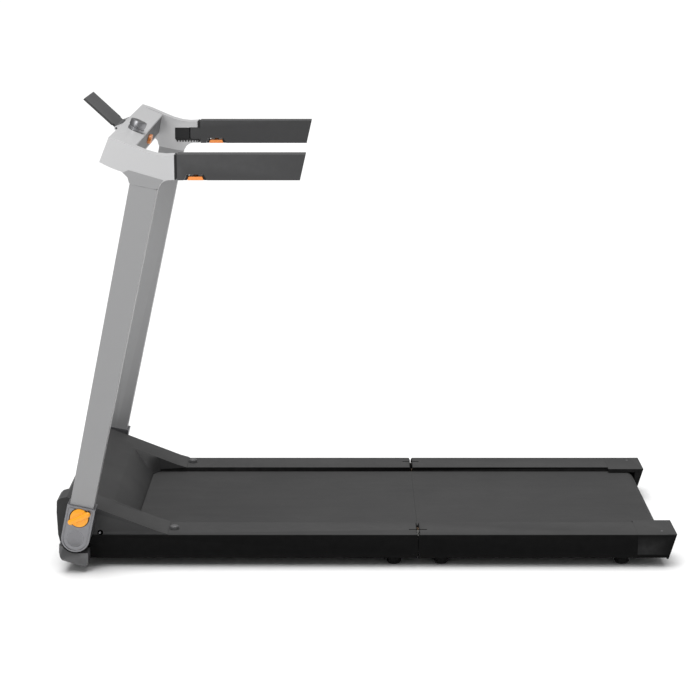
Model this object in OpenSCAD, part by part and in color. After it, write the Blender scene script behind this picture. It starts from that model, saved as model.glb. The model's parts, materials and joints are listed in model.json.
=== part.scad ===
// Double-folding home treadmill: a motor base with a folding rear deck, a pair of leaning
// uprights that carry the console, and two swing-in arms.
// X runs from the hood's nose to the tail, Y across, Z up. The left side is -Y.

/* [Deck] */
// Length of the rear half, from the fold line to the tail
rear_l = 597; // [480:1:720]
// Length ahead of the folded rear half, taken up by the hood
hood_l = 236; // [200:1:290]
// Width over both side rails
deck_w = 640; // [520:1:780]
// Height of the side rails
rail_h = 60; // [51:1:72]
// Width of each side rail's tread
rail_w = 91; // [84:1:112]
// Height of the feet, from the floor to the underside of the rails
foot_h = 20; // [16:1:30]
// Wall of the rails, caps and hood
wall = 3; // [2:0.1:4]
// Thickness of the running board
board_t = 15; // [12:0.5:18]
// Drop from the rail tops to the belt
belt_drop = 10; // [7:0.5:12]
// Thickness of the running belt
belt_t = 2; // [1.4:0.1:2.6]
// Gap between the belt's edge and the rail
belt_side_gap = 4; // [3:0.5:8]

/* [Fold hinge] */
// Depth of the two hinge pins under the rail tops
pin_depth = 9.5; // [8:0.1:11]
// Space left between the rail tops when the rear half lies on the front half
folded_gap = 10; // [6:0.5:14]
// Gap between the two halves at the fold line
fold_gap = 1.5; // [1:0.1:3]
// Radius of the fold pins
fold_pin_r = 3; // [2:0.1:3.5]
// Thickness of each fold link
link_t = 4; // [3:0.5:8]

/* [Drive] */
// Radius of both belt rollers
roller_r = 18; // [16:0.5:19]
// Radius of the roller axles
axle_r = 6; // [5:0.5:8]
// Radius of the pulley on the front roller
big_pulley_r = 20; // [17:0.5:20.5]
// Radius of the motor's pulley
small_pulley_r = 10; // [8:0.5:12]
// Radius of the motor's can
motor_r = 36; // [30:1:40]
// Length of the motor's can
motor_l = 130; // [100:1:170]

/* [Uprights] */
// Distance from the pivot to the console's neck
post_l = 826; // [680:1:1000]
// Rearward lean of the uprights in degrees
lean = 12.15; // [8:0.05:16]
// Width of an upright at its foot
post_w0 = 53; // [44:1:58]
// Width of an upright at its top
post_w1 = 62; // [54:1:66]
// Thickness of the uprights, forks and arms across the treadmill
side_t = 40; // [34:1:50]
// Gap between the deck's side and the uprights
side_gap = 2; // [1.5:0.1:4]
// Height of the upright's pivot above the floor
pivot_z = 85; // [78:1:95]
// Radius of the upright's pivot pin
pivot_r = 8; // [6:0.5:10]
// Distance from the pivot to the lock knob
lock_d = 51; // [46:1:58]

/* [Arms] */
// Height of an arm
arm_h = 57; // [46:1:68]
// Length of an arm behind the fork
arm_l = 288; // [230:1:300]
// Radius of the arm's hinge pin
arm_pin_r = 3; // [2.5:0.1:4]
// Travel of the release button
button_travel = 4; // [3:0.1:4.5]

/* [Console] */
// Radius of the console's knob
knob_r = 19; // [15:0.5:22]
// Height of the console's knob
knob_h = 24; // [18:0.5:30]
// Width of the phone holder's panel
holder_w = 160; // [120:1:220]
// Length of the phone holder's panel
holder_l = 88; // [70:1:100]

/* [Wheels and feet] */
// Radius of the transport wheels
wheel_r = 22; // [19:0.5:24]
// Width of the transport wheels
wheel_w = 20; // [14:0.5:22]
// Radius of the rubber feet
foot_r = 16.5; // [14:0.5:20]

/* [Hidden] */
$fn = 64;
EPS = 0.01;

// Clearances
run_fit = 0.05; // shaft in a running bore, on the radius
belt_air = 0.3; // belt over a roller or a pulley
belt_seam = 0.1; // between the two belt pieces at the fold line
slide_air = 0.4; // moving covers past fixed ones
cross_air = 1.6; // cross members over the belt's lower run
motor_air = 2; // motor's can over its cross member

// Overall deck
deck_l = hood_l + 2 * rear_l;
x_front = -deck_l / 2;
x_rear = deck_l / 2;
fold_x = x_rear - rear_l;
rail_top = foot_h + rail_h;
rail_y0 = deck_w / 2 - rail_w;
rail_y1 = deck_w / 2;
belt_y = rail_y0 - belt_side_gap;
belt_z = rail_top - belt_drop;
board_top = belt_z - belt_t;
board_bot = board_top - board_t;

// Fold hinge: each half turns about its own pin, and the two ends roll on each other
pin_half = pin_depth + folded_gap / 2;
pin_z = rail_top - pin_depth;
front_end = fold_x - fold_gap / 2;
rear_end = fold_x + fold_gap / 2;
ear_r = pin_depth - wall - 0.5;
ear_t = 6;
link_air = 1;
link_y0 = rail_y1 - 39;
link_y1 = link_y0 + link_t;
toe_cut = 3.5;
toe_h = 14;

// Steel frames
frame_wall = 2.5;
tube_y0 = rail_y0 + 33;
tube_y1 = rail_y1 - 20;
tube_z0 = foot_h + 8;
tube_z1 = pin_z - ear_r - 2.5;
cross_w = 40;
tube_front = x_front + 75;
tube_rear = x_rear - 30;
tray_side_air = 0.5;
bracket_t = 5;
bracket_l = 75;

// Rollers, belt and pulleys
belt_in_r = roller_r + belt_air;
belt_out_r = belt_in_r + belt_t;
roller_z = belt_z - belt_out_r;
cross_z0 = roller_z - belt_in_r + cross_air;
cross_z1 = board_bot;
slot_x = x_front + 170;
roller_x0 = slot_x - 30;
roller_x1 = x_rear - 45;
roller_half = belt_y + 7;
pulley_y0 = roller_half + 6;
pulley_w = 18;
pulley_boss_r = 12;
drive_t = 2;
drive_side_air = 1.5;
motor_x = x_front + 60;
motor_z = cross_z1 + motor_r + motor_air;
motor_y = 20;
motor_cross_x = motor_x - cross_w / 2;
front_crosses = [slot_x + 40, front_end - 130];
rear_crosses = [rear_end + 90, roller_x1 - 110];

// Hood, side view
ridge_x = x_front + 24;
ridge_z = foot_h + 150;
land_x = x_front + hood_l;
hood_z0 = rail_top + 0.3;
hood_foot_z = foot_h + 34;
hood_rail_x = x_front + 65;
hood_end_x = land_x + 18;
scoop_x = x_front + 115;
hood_slope = (ridge_z - rail_top - 6) / (land_x - ridge_x);
nose_pts = [
    [x_front + 8, hood_foot_z],
    [x_front + 2, hood_foot_z + 26],
    [x_front, hood_foot_z + 80],
    [x_front + 1.5, ridge_z - 10],
    [x_front + 8, ridge_z - 4],
    [ridge_x, ridge_z]
];
cheek_in = rail_y1 - 70;
nose_recess = 14;
mid_nose_pts = [for (i = [0 : 5]) nose_pts[i] + [i < 5 ? nose_recess : 0, 0]];
function on_slope(x) = ridge_z - (x - ridge_x) * hood_slope;
shoulder_pts = [
    [land_x - 40, on_slope(land_x - 40)],
    [land_x - 6, on_slope(land_x - 6)],
    [hood_end_x, hood_z0 + 1]
];
scoop_pts = [
    [scoop_x, on_slope(scoop_x)],
    [scoop_x + 9, on_slope(scoop_x) - 5.5],
    [slot_x - 3, belt_z + 9],
    [slot_x, belt_z + 2]
];
tray_x = mid_nose_pts[0][0] + wall + slide_air;
shoulder_line = concat([nose_pts[5]], shoulder_pts);
scoop_line = concat([nose_pts[5]], scoop_pts);

// Uprights
pivot_x = x_front + 48;
side_y0 = deck_w / 2 + side_gap;
side_y1 = side_y0 + side_t;
cap_wall = 6;
cap_r = post_w0 / 2 + cap_wall;
cap_skin = 2.6;
cap_face = 4;
cap_l = 77;
post_y0 = side_y0 + cap_skin + 0.2;
post_y1 = side_y1 - 0.2;
post_wall = 2.5;
post_solid_l = lock_d + 18;
spigot_l = 24;
spigot_w = post_w1 - 2 * post_wall - 6;
lock_r = 5;
lock_x = pivot_x + lock_d * sin(lean);
lock_z = pivot_z + lock_d * cos(lean);
folded_lock_angle = 91;
lock_angles = [lean, folded_lock_angle];
guard_air = 4;

// Plates that carry the uprights
plate_y0 = rail_y1 - 14;
plate_y1 = plate_y0 + 6;
plate_rear_x = pivot_x + lock_d + 14;
plate_air = 0.5;
wheel_x = x_front + 43;
wheel_y1 = plate_y0 - 9;
wheel_pin_r = 4;
tray_half = wheel_y1 - wheel_w - 12;

// Feet, and the bumpers where the rear half lands when folded
foot_y = rail_y1 - 35;
front_foot_x = fold_x - 55.5;
rear_foot_x = [fold_x + 54, x_rear - 122];
landing_x = 2 * fold_x - (x_rear - 30.5);
bumper_y = rail_y1 - 42;
bumper_r = 10.5;

// End caps
cap_x = x_rear - 90;
cap_slant = 18;
cap_lip_y = belt_y - 12;

// Neck: the console is set out from the point where the upright meets it
neck_x = pivot_x + post_l * sin(lean);
neck_z = pivot_z + post_l * cos(lean);
fork_end = neck_x + 68.5;
arm_z0 = neck_z + 14.5;
arm_z1 = arm_z0 + arm_h;
fork_pts = [
    [-73.5, 109], [-50.5, 101.5], [-19.5, 88], [5.5, 77.5], [28.5, 71], [48.5, 69]
];
fork_low_pts = [
    [56.5, 15], [46.5, 13], [37.5, 6], [32.5, -4], [28.5, -5.5], [-28.5, 5], [-31.5, 9],
    [-34.5, 21], [-46.5, 33], [-70.5, 42], [-95.5, 54.5]
];
bar_pts = [[-73.5, 109], [-20, 86.5], [-31, 37], [-95.5, 54.5]];
bar_mid = [-55, 72];
bar_shell = 0.88;

// Arm hinge, set into the fork's inner side
tongue_h = 29;
tongue_z0 = arm_z0 + 10;
tongue_t = 12;
arm_pin_x = fork_end - 15;
arm_pin_y = side_y0 + tongue_t / 2;
arm_pin_z0 = tongue_z0 - 7;
arm_pin_l = tongue_h + 14;
tongue_air = 0.6;
block_l = 37;
arm_neck_l = 6;
arm_neck_in = 3;
swing_step = 1.6; // clears the arm's neck, which swings past the fork's inner edge
arm_x0 = fork_end + arm_neck_l;
arm_x1 = fork_end + arm_l;
arm_wall = 3;
notch_x = fork_end + 46;
notch_h = 8 + button_travel + 0.5;
button_h = 8;
button_stem_r = 5;

// Console face
bar_top_slope = (bar_pts[0][1] - bar_pts[1][1]) / (bar_pts[1][0] - bar_pts[0][0]);
bar_top_angle = atan(bar_top_slope);
knob_pin_r = 3;
knob_y = -110;
knob_set = 32;
knob_at = [neck_x + bar_pts[0][0] + knob_set, neck_z + bar_pts[0][1] - knob_set * bar_top_slope];
key_y = 23;
key_peg_r = 4;
key_low = 0.52;
hinge_at = [neck_x - 89.5, neck_z + 97];
holder_angle = 43;
holder_t = 5;
hinge_barrel_r = 5;
hinge_pin_r = 2.5;
ear_w = 8;
holder_half = holder_w / 2;
barrel_half = holder_half - ear_w - 1;

// Power socket and switch on the nose
socket_y = 190;
socket_z = foot_h + 81;
socket_x = x_front + nose_recess + 1.5;
switch_x = socket_x + 7;
switch_y = socket_y + 8;

// ---------- helpers ----------

// Points of an arc about c, from angle a0 to a1
function arc(c, r, a0, a1) = let (n = ceil(abs(a1 - a0) / 6))
    [for (i = [0 : n]) c + r * [cos(a0 + (a1 - a0) * i / n), sin(a0 + (a1 - a0) * i / n)]];

// Draws its children, made for the left side, on the side s: -1 left, 1 right
module on_side(s) {
    if (s < 0) children();
    else mirror([0, 1, 0]) children();
}

// A pair, one on each side
module pair() {
    for (s = [-1, 1]) on_side(s) children();
}

// A side-view outline (X, Z) pulled across the left side from y0 to y1, both distances
// from the middle
module slab(y0, y1) {
    translate([0, -y0, 0]) rotate([90, 0, 0]) linear_extrude(y1 - y0) children();
}

// A cross-section (distance from the middle, Z) of the left side pulled along X
module beam(x0, x1) {
    translate([x0, 0, 0]) rotate([90, 0, 90]) linear_extrude(x1 - x0)
        mirror([1, 0]) children();
}

// A rod across the left side
module rod(x, z, r, y0, y1) {
    slab(y0, y1) translate([x, z]) circle(r);
}

// A box of the left side between distances y0 and y1 from the middle
module block(x0, x1, y0, y1, z0, z1) {
    translate([x0, -y1, z0]) cube([x1 - x0, y1 - y0, z1 - z0]);
}

// A box across the middle
module across(x0, x1, half, z0, z1) {
    translate([x0, -half, z0]) cube([x1 - x0, 2 * half, z1 - z0]);
}

// Places a side-view outline drawn in the upright's own frame: X across it, Y along it
module along_post() {
    translate([pivot_x, pivot_z]) rotate(-lean) children();
}

// Points of the console, set out from the neck
function from_neck(pts) = [for (p = pts) [neck_x + p[0], neck_z + p[1]]];

// Points of an outline drawn in about a middle point
function drawn_in(pts, mid, k) = [for (p = pts) mid + (p - mid) * k];

// The two ends roll on each other, so the rail ends are rounded above the pins
module fold_end_cut(end_x, dir) {
    r = pin_half - fold_gap / 2;
    difference() {
        translate([min(end_x, end_x - dir * r), pin_z]) square([r, rail_top]);
        translate([end_x - dir * r, pin_z]) circle(r);
    }
    polygon([
        [end_x + dir, foot_h - 1], [end_x - dir * toe_cut, foot_h - 1],
        [end_x - dir * toe_cut, foot_h], [end_x + dir, foot_h + toe_h]
    ]);
}

// ---------- rails, caps and boards ----------

// One closed outline: tread, rib that stands on the side tube, outer side and rolled foot
module rail_section() {
    bevel = 1.5;
    low_r = 12;
    rib_y = tube_y0 + 4;
    skin_z = rail_top - wall;
    lip_z = board_top + 0.4;
    corner = [rail_y1 - low_r, foot_h + low_r];
    polygon(concat(
        [[rail_y0, lip_z], [rail_y0, rail_top], [rail_y1 - bevel, rail_top],
            [rail_y1, rail_top - bevel]],
        arc(corner, low_r, 0, -90),
        arc(corner, low_r - wall, -90, 0),
        [[rail_y1 - wall, skin_z], [rib_y + wall, skin_z], [rib_y + wall, tube_z1],
            [rib_y, tube_z1], [rib_y, skin_z], [rail_y0 + wall, skin_z], [rail_y0 + wall, lip_z]]
    ));
}

// Hole for the lock knob's shaft, with the upright at the given angle
module lock_hole(angle, r, y0, y1) {
    rod(pivot_x + lock_d * sin(angle), pivot_z + lock_d * cos(angle), r, y0, y1);
}

// Slot that lets the fold link rise through the tread
module link_slot(pin_x, end_x) {
    far = pin_x + sign(pin_x - end_x) * (ear_r + 0.5);
    block(min(far, end_x), max(far, end_x), link_y0 - 0.5, link_y1 + 0.5, tube_z1, rail_top + 1);
}

module front_rail() {
    color("#464646") difference() {
        beam(hood_rail_x, front_end) rail_section();
        slab(0, rail_y1 + 1) fold_end_cut(front_end, 1);
        link_slot(fold_x - pin_half, front_end + 1);
        block(hood_rail_x - 1, plate_rear_x + plate_air, plate_y0 - plate_air, plate_y1 + plate_air,
            tube_z0, rail_top + 1);
        lock_hole(folded_lock_angle, lock_r + 2, plate_y1, rail_y1 + 1);
        block(hood_rail_x - 1, roller_x0 + big_pulley_r + 4, pulley_y0 - drive_side_air,
            pulley_y0 + pulley_w + drive_side_air, tube_z1, rail_top + 1);
    }
}

module rear_rail() {
    color("#464646") difference() {
        beam(rear_end, cap_x) rail_section();
        slab(0, rail_y1 + 1) fold_end_cut(rear_end, -1);
        link_slot(fold_x + pin_half, rear_end - 1);
    }
}

// Cap over the rear corner: it covers the roller's end and turns in over the belt's edge
module end_cap() {
    color("#4a4a4a") difference() {
        union() {
            beam(cap_x, x_rear) rail_section();
            block(cap_x, x_rear, cap_lip_y, rail_y0 + wall, rail_top - wall, rail_top);
            block(cap_x, x_rear, cap_lip_y, cap_lip_y + wall, belt_z + 1.5, rail_top);
            block(x_rear - cap_slant - wall - 1, x_rear, cap_lip_y, rail_y1 - 1, foot_h, rail_top);
        }
        slab(0, rail_y1 + 1) polygon([
            [x_rear, rail_top], [x_rear + 1, rail_top + 1], [x_rear + 1, foot_h - 1],
            [x_rear - cap_slant, foot_h - 1], [x_rear - cap_slant, foot_h]
        ]);
        block(cap_x - 1, roller_x1 + belt_out_r + 1.5, 0, belt_y + 2, 0, belt_z + 1.5);
        slab(0, rail_y1 - 12) translate([roller_x1, roller_z]) circle(belt_out_r + 1.5);
        block(tube_rear - 1, tube_rear + 1, tube_y0 - 1, tube_y1 + 1, tube_z0 - 1, tube_z1);
    }
}

module running_board(x0, x1) {
    color("#6b5a44") across(x0, x1, tube_y0 - 4, board_bot, board_top);
}

module belly_pan(x0, x1) {
    pan_t = 1.2;
    flange_t = 3;
    color("#2a2a2a") {
        across(x0, x1, tube_y0 - 2, foot_h, foot_h + pan_t);
        pair() block(x0, x1, tube_y0 - 2 - flange_t, tube_y0 - 2, foot_h + pan_t - EPS, cross_z0);
    }
}

// ---------- frames ----------

module tube_section() {
    difference() {
        translate([tube_y0, tube_z0]) square([tube_y1 - tube_y0, tube_z1 - tube_z0]);
        translate([tube_y0 + frame_wall, tube_z0 + frame_wall])
            square([tube_y1 - tube_y0 - 2 * frame_wall, tube_z1 - tube_z0 - 2 * frame_wall]);
    }
}

// Cross member between the two side tubes, out to the given distance from the middle
module cross_member(x, half) {
    difference() {
        across(x, x + cross_w, half, cross_z0, cross_z1);
        across(x + frame_wall, x + cross_w - frame_wall, half - bracket_t,
            cross_z0 + frame_wall, cross_z1 - frame_wall);
    }
}

// Pair of ears that hold one fold pin
module fold_ears(pin_x, end_x) {
    for (y = [link_y0 - link_air - ear_t, link_y1 + link_air]) {
        difference() {
            union() {
                rod(pin_x, pin_z, ear_r, y, y + ear_t);
                block(pin_x - ear_r, pin_x + ear_r, y, y + ear_t, tube_z1 - EPS, pin_z);
            }
            rod(pin_x, pin_z, fold_pin_r, y - 1, y + ear_t + 1);
        }
    }
}

module frame(x0, x1, crosses, axle_x, pin_x, end_x) {
    color("#303030") {
        pair() {
            difference() {
                beam(x0, x1) tube_section();
                rod(axle_x, roller_z, axle_r, tube_y0 - 1, tube_y1 + 1);
            }
            fold_ears(pin_x, end_x);
        }
        for (x = crosses) cross_member(x, tube_y0 + 1);
    }
}

// The motor's cross member stands ahead of the side tubes, on a bracket each side
module base_frame() {
    frame(tube_front, front_end, front_crosses, roller_x0, fold_x - pin_half, front_end);
    half = tray_half - wall - tray_side_air - EPS;
    color("#303030") {
        cross_member(motor_cross_x, half);
        pair() {
            block(motor_cross_x, motor_cross_x + bracket_l, half - bracket_t, half, cross_z0, cross_z1);
            block(tube_front + 1, motor_cross_x + bracket_l, half - EPS, tube_y0 + 1, cross_z0, cross_z1);
        }
    }
}

module rear_frame() {
    frame(rear_end, tube_rear, rear_crosses, roller_x1, fold_x + pin_half, rear_end);
}

// Plate each side that carries an upright's pivot, its lock holes and a transport wheel
module upright_plates() {
    plate_pts = [
        [wheel_x - 9, wheel_r - 8], [wheel_x - 12, wheel_r + 14], [pivot_x - 28, pivot_z - 20],
        [pivot_x - 26, pivot_z + 20], [pivot_x, pivot_z + lock_d + 9],
        [pivot_x + 24, pivot_z + lock_d + 9], [plate_rear_x, pivot_z + 10],
        [plate_rear_x, tube_z0 + 1], [hood_rail_x - 1, tube_z0 + 1], [wheel_x + 10, wheel_r - 8]
    ];
    color("#262626") pair() {
        difference() {
            slab(plate_y0, plate_y1) polygon(plate_pts);
            rod(pivot_x, pivot_z, pivot_r, plate_y0 - 1, plate_y1 + 1);
            rod(wheel_x, wheel_r, wheel_pin_r, plate_y0 - 1, plate_y1 + 1);
            for (a = lock_angles) lock_hole(a, lock_r + 0.5, plate_y0 - 1, plate_y1 + 1);
        }
        block(tube_front + 4, pivot_x + lock_d + 8, tube_y1, plate_y0 + EPS,
            tube_z0 + 3, tube_z1 - 3);
    }
}

// ---------- fold links and pins ----------

module fold_link() {
    x0 = fold_x - pin_half;
    x1 = fold_x + pin_half;
    color("#9a9a9a") difference() {
        union() {
            rod(x0, pin_z, ear_r, link_y0, link_y1);
            rod(x1, pin_z, ear_r, link_y0, link_y1);
            block(x0, x1, link_y0, link_y1, pin_z - ear_r, pin_z + ear_r);
        }
        rod(x0, pin_z, fold_pin_r + run_fit, link_y0 - 1, link_y1 + 1);
        rod(x1, pin_z, fold_pin_r + run_fit, link_y0 - 1, link_y1 + 1);
    }
}

module fold_pins(x) {
    color("#b8b8b8") pair() rod(x, pin_z, fold_pin_r, link_y0 - link_air - ear_t,
        link_y1 + link_air + ear_t);
}

// ---------- rollers, belts and motor ----------

module roller(x) {
    tube_t = 3;
    plug_l = 12;
    color("#8d9094") difference() {
        translate([x, roller_half, roller_z]) rotate([90, 0, 0]) cylinder(r = roller_r, h = 2 * roller_half);
        translate([x, roller_half - plug_l, roller_z]) rotate([90, 0, 0])
            cylinder(r = roller_r - tube_t, h = 2 * (roller_half - plug_l));
        translate([x, roller_half + 1, roller_z]) rotate([90, 0, 0])
            cylinder(r = axle_r + run_fit, h = 2 * roller_half + 2);
    }
}

module roller_axle(x) {
    color("#a7a9ac") translate([x, tube_y1, roller_z]) rotate([90, 0, 0])
        cylinder(r = axle_r, h = 2 * tube_y1);
}

// Pulley pressed against the roller's right end
module roller_pulley() {
    color("#3c3c3c") mirror([0, 1, 0]) difference() {
        union() {
            rod(roller_x0, roller_z, pulley_boss_r, roller_half, pulley_y0 + EPS);
            rod(roller_x0, roller_z, big_pulley_r, pulley_y0, pulley_y0 + pulley_w);
        }
        rod(roller_x0, roller_z, axle_r + run_fit, roller_half - 1, pulley_y0 + pulley_w + 1);
    }
}

// Outline of a band round one roller, open towards the fold line
module band_outline(x, open_x) {
    lo = min(x, open_x);
    len = abs(open_x - x);
    difference() {
        union() {
            translate([x, roller_z]) circle(belt_out_r);
            translate([lo, roller_z - belt_out_r]) square([len, 2 * belt_out_r]);
        }
        translate([x, roller_z]) circle(belt_in_r);
        translate([lo - (x > open_x ? 1 : 0), roller_z - belt_in_r]) square([len + 1, 2 * belt_in_r]);
    }
}

module running_belt(x, open_x) {
    color("#4c4c4c") {
        slab(-belt_y, belt_y) band_outline(x, open_x);
    }
}

// Closed outline round both pulleys, grown by g
module drive_hull(g) {
    a = [motor_x, motor_z];
    b = [roller_x0, roller_z];
    ra = small_pulley_r + g;
    rb = big_pulley_r + g;
    base = atan2(b[1] - a[1], b[0] - a[0]);
    tilt = acos((ra - rb) / norm(b - a));
    polygon(concat(arc(a, ra, base + tilt, base + 360 - tilt), arc(b, rb, base - tilt, base + tilt)));
}

module drive_belt() {
    color("#1c1c1c") mirror([0, 1, 0]) slab(pulley_y0 + 2, pulley_y0 + pulley_w - 2) difference() {
        drive_hull(belt_air + drive_t);
        drive_hull(belt_air);
    }
}

module motor_housing() {
    can_t = 3;
    bell = 6;
    color("#2f3133") difference() {
        union() {
            translate([motor_x, motor_y + motor_l / 2, motor_z]) rotate([90, 0, 0])
                cylinder(r = motor_r, h = motor_l);
            translate([motor_x - 20, motor_y - motor_l / 2, cross_z1])
                cube([40, motor_l, motor_z - cross_z1 - motor_r / 2]);
        }
        translate([motor_x, motor_y + motor_l / 2 - bell, motor_z]) rotate([90, 0, 0])
            cylinder(r = motor_r - can_t, h = motor_l - 2 * bell);
        translate([motor_x, motor_y + motor_l, motor_z]) rotate([90, 0, 0])
            cylinder(r = axle_r + run_fit, h = 2 * motor_l);
    }
}

// Shaft with its core, fan wheel and pulley
module motor_rotor() {
    fan_r = 30;
    fan_gap = 6;
    core_l = motor_l - 40;
    tail = motor_y - motor_l / 2;
    color("#77797c") translate([motor_x, 0, motor_z]) rotate([-90, 0, 0]) {
        translate([0, 0, tail - 20]) cylinder(r = axle_r, h = pulley_y0 + pulley_w - tail + 20);
        translate([0, 0, motor_y - core_l / 2]) cylinder(r = motor_r - 8, h = core_l);
        translate([0, 0, tail - fan_gap - 10]) cylinder(r = fan_r, h = 10);
        translate([0, 0, pulley_y0]) cylinder(r = small_pulley_r, h = pulley_w);
    }
}

module motor_controller() {
    fins = 9;
    color("#5d6a5f") translate([motor_x - 25, -220, cross_z1]) {
        cube([50, 120, 12]);
        for (i = [0 : fins - 1]) translate([4 + i * 5, 6, 12 - EPS]) cube([2, 108, 26]);
    }
}

// ---------- hood ----------

// Strip of the given thickness under a top outline
function under(pts, t) = concat(pts, [for (i = [len(pts) - 1 : -1 : 0]) pts[i] - [0, t]]);

module hood_side_outline() {
    polygon(concat(nose_pts, shoulder_pts, [
        [hood_end_x, hood_z0], [hood_rail_x - 0.5, hood_z0], [hood_rail_x - 0.5, hood_foot_z]
    ]));
}

// Inner line of a nose outline, from the ridge down
function nose_inside(pts) = [for (i = [4 : -1 : 0]) pts[i] + [wall, i == 4 ? -wall : 0]];

module nose_strip(pts, skin) {
    polygon(concat(pts, [[ridge_x, ridge_z - skin]], nose_inside(pts)));
}

// Hood: two shoulders beside a middle panel that dips to the belt, open underneath
module motor_hood() {
    inner_y = belt_y;
    skin = wall / cos(atan(hood_slope));
    color("#434343") difference() {
        union() {
            pair() {
                slab(rail_y1 - wall, rail_y1) hood_side_outline();
                slab(inner_y, rail_y1 - wall + EPS) polygon(under(shoulder_line, skin));
                slab(inner_y, inner_y + wall) polygon(concat(
                    [for (i = [0 : 3]) shoulder_line[i]],
                    [[hood_end_x, hood_z0], [slot_x, belt_z + 2 + wall]],
                    [for (i = [3 : -1 : 0]) scoop_pts[i] - [0, wall]]
                ));
            }
            slab(-inner_y - EPS, inner_y + EPS) polygon(concat(
                scoop_line,
                [scoop_pts[3] - [wall, 0]],
                [for (i = [2 : -1 : 0]) scoop_pts[i] - [wall, skin]],
                [[ridge_x, ridge_z - skin]]
            ));
            slab(-cheek_in - EPS, cheek_in + EPS) nose_strip(mid_nose_pts, skin);
            pair() {
                slab(cheek_in, rail_y1 - EPS) nose_strip(nose_pts, skin);
                slab(cheek_in, cheek_in + wall) polygon(concat(nose_pts, nose_inside(mid_nose_pts)));
            }
        }
        pair() {
            rod(pivot_x, pivot_z, pivot_r + 4, rail_y1 - wall - 1, rail_y1 + 1);
            for (a = lock_angles) lock_hole(a, lock_r + 2, rail_y1 - wall - 1, rail_y1 + 1);
            block(hood_rail_x - 0.5, hood_end_x + 1, rail_y0 - 0.5, rail_y1 + 1, 0, hood_z0);
        }
        translate([x_front - 1, socket_y - 32, socket_z - 15]) cube([nose_recess + 2 * wall + 1, 64, 30]);
    }
}

// Lower tray that closes the nose between the transport wheels
module hood_tray() {
    color("#353535") difference() {
        across(tray_x, tube_front - 2, tray_half, foot_h, hood_foot_z + 8);
        across(tray_x + wall, tube_front, tray_half - wall, foot_h + wall, hood_foot_z + 9);
        pair() for (x = [motor_x - 12]) translate([x, -150, foot_h - 1]) cylinder(r = 2, h = 10);
    }
}

module tray_screws() {
    color("#999999") pair() translate([motor_x - 12, -150, 0]) {
        translate([0, 0, foot_h - 2]) cylinder(r = 4, h = 2);
        translate([0, 0, foot_h - EPS]) cylinder(r = 2, h = cross_z0 - foot_h);
    }
}

// Mains socket and the bezel of the rocker switch, in one moulded plate
module power_inlet() {
    color("#1e1e1e") difference() {
        translate([socket_x, socket_y - 31.5, socket_z - 14.5]) cube([16.5, 63, 29]);
        translate([socket_x - 1, socket_y - 27, socket_z - 10]) cube([14.5, 26, 20]);
        translate([socket_x - 1, switch_y, socket_z - 10]) cube([19, 16, 20]);
    }
    for (at = [[-14, -5], [-21, 0], [-14, 5]])
        color("#b9b9b9") translate([socket_x + 3, socket_y + at[0], socket_z + at[1] - 0.8])
            cube([11, 3, 1.6]);
}

module power_switch() {
    color("#b03020") translate([switch_x, switch_y + slide_air, socket_z]) rotate([-90, 0, 0])
        difference() {
            cylinder(r = 8, h = 15.2);
            translate([1, -9, -1]) cube([10, 18, 18]);
        }
}

// ---------- feet, wheels and bumpers ----------

module foot(x) {
    stem_r = 10;
    sole_r = foot_r - 5;
    translate([x, -foot_y, 0]) rotate_extrude() polygon([
        [0, 0], [sole_r, 0], [foot_r - 1.5, 3], [foot_r, 8], [foot_r, foot_h - 0.5],
        [stem_r, foot_h - 0.5], [stem_r, tube_z0], [0, tube_z0]
    ]);
}

module front_feet() {
    color("#1d1d1d") pair() foot(front_foot_x);
}

module rear_feet() {
    color("#1d1d1d") pair() for (x = rear_foot_x) foot(x);
}

// Bumpers that the rear half's caps land on
module fold_bumpers() {
    color("#6e6e6e") pair() translate([landing_x, -bumper_y, rail_top])
        cylinder(r = bumper_r, h = folded_gap - 0.3);
}

module wheel_axles() {
    head_r = 6;
    color("#9a9a9a") pair() {
        rod(wheel_x, wheel_r, wheel_pin_r, wheel_y1 - wheel_w - 1, plate_y1);
        rod(wheel_x, wheel_r, head_r, wheel_y1 - wheel_w - 4, wheel_y1 - wheel_w - 1);
    }
}

module transport_wheel() {
    color("#232323") difference() {
        rod(wheel_x, wheel_r, wheel_r, wheel_y1 - wheel_w, wheel_y1);
        rod(wheel_x, wheel_r, wheel_pin_r + run_fit, wheel_y1 - wheel_w - 1, wheel_y1 + 1);
    }
}

// ---------- uprights ----------

module upright_pivot_pins() {
    head_t = 5;
    color("#8f8f8f") pair() {
        rod(pivot_x, pivot_z, pivot_r, plate_y0, post_y1 - 8);
        rod(pivot_x, pivot_z, pivot_r + 4, plate_y0 - head_t, plate_y0 + EPS);
    }
}

// Curved guard under the pivot, round the same centre
module pivot_guards() {
    r = cap_r + guard_air;
    color("#2b2b2b") pair() {
        slab(rail_y1, side_y1) difference() {
            polygon([
                [pivot_x - 38, pivot_z - 16], [pivot_x - 39, pivot_z - 34],
                [pivot_x - 37, pivot_z - 46], [pivot_x - 33, pivot_z - 53],
                [pivot_x + 16, pivot_z - 68], [pivot_x + 23, pivot_z - 67],
                [pivot_x + 27, pivot_z - 60], [pivot_x + 27, pivot_z - r],
                [pivot_x, pivot_z - r]
            ]);
            translate([pivot_x, pivot_z]) circle(r);
        }
        block(pivot_x - 22, pivot_x + 12, plate_y1, rail_y1 + EPS, pivot_z - 56, pivot_z - 34);
    }
}

module post_outline(inset) {
    along_post() {
        polygon([
            [-post_w0 / 2 + inset, 0], [-post_w1 / 2 + inset, post_l],
            [post_w1 / 2 - inset, post_l], [post_w0 / 2 - inset, 0]
        ]);
        circle(post_w0 / 2 - inset);
    }
}

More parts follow.
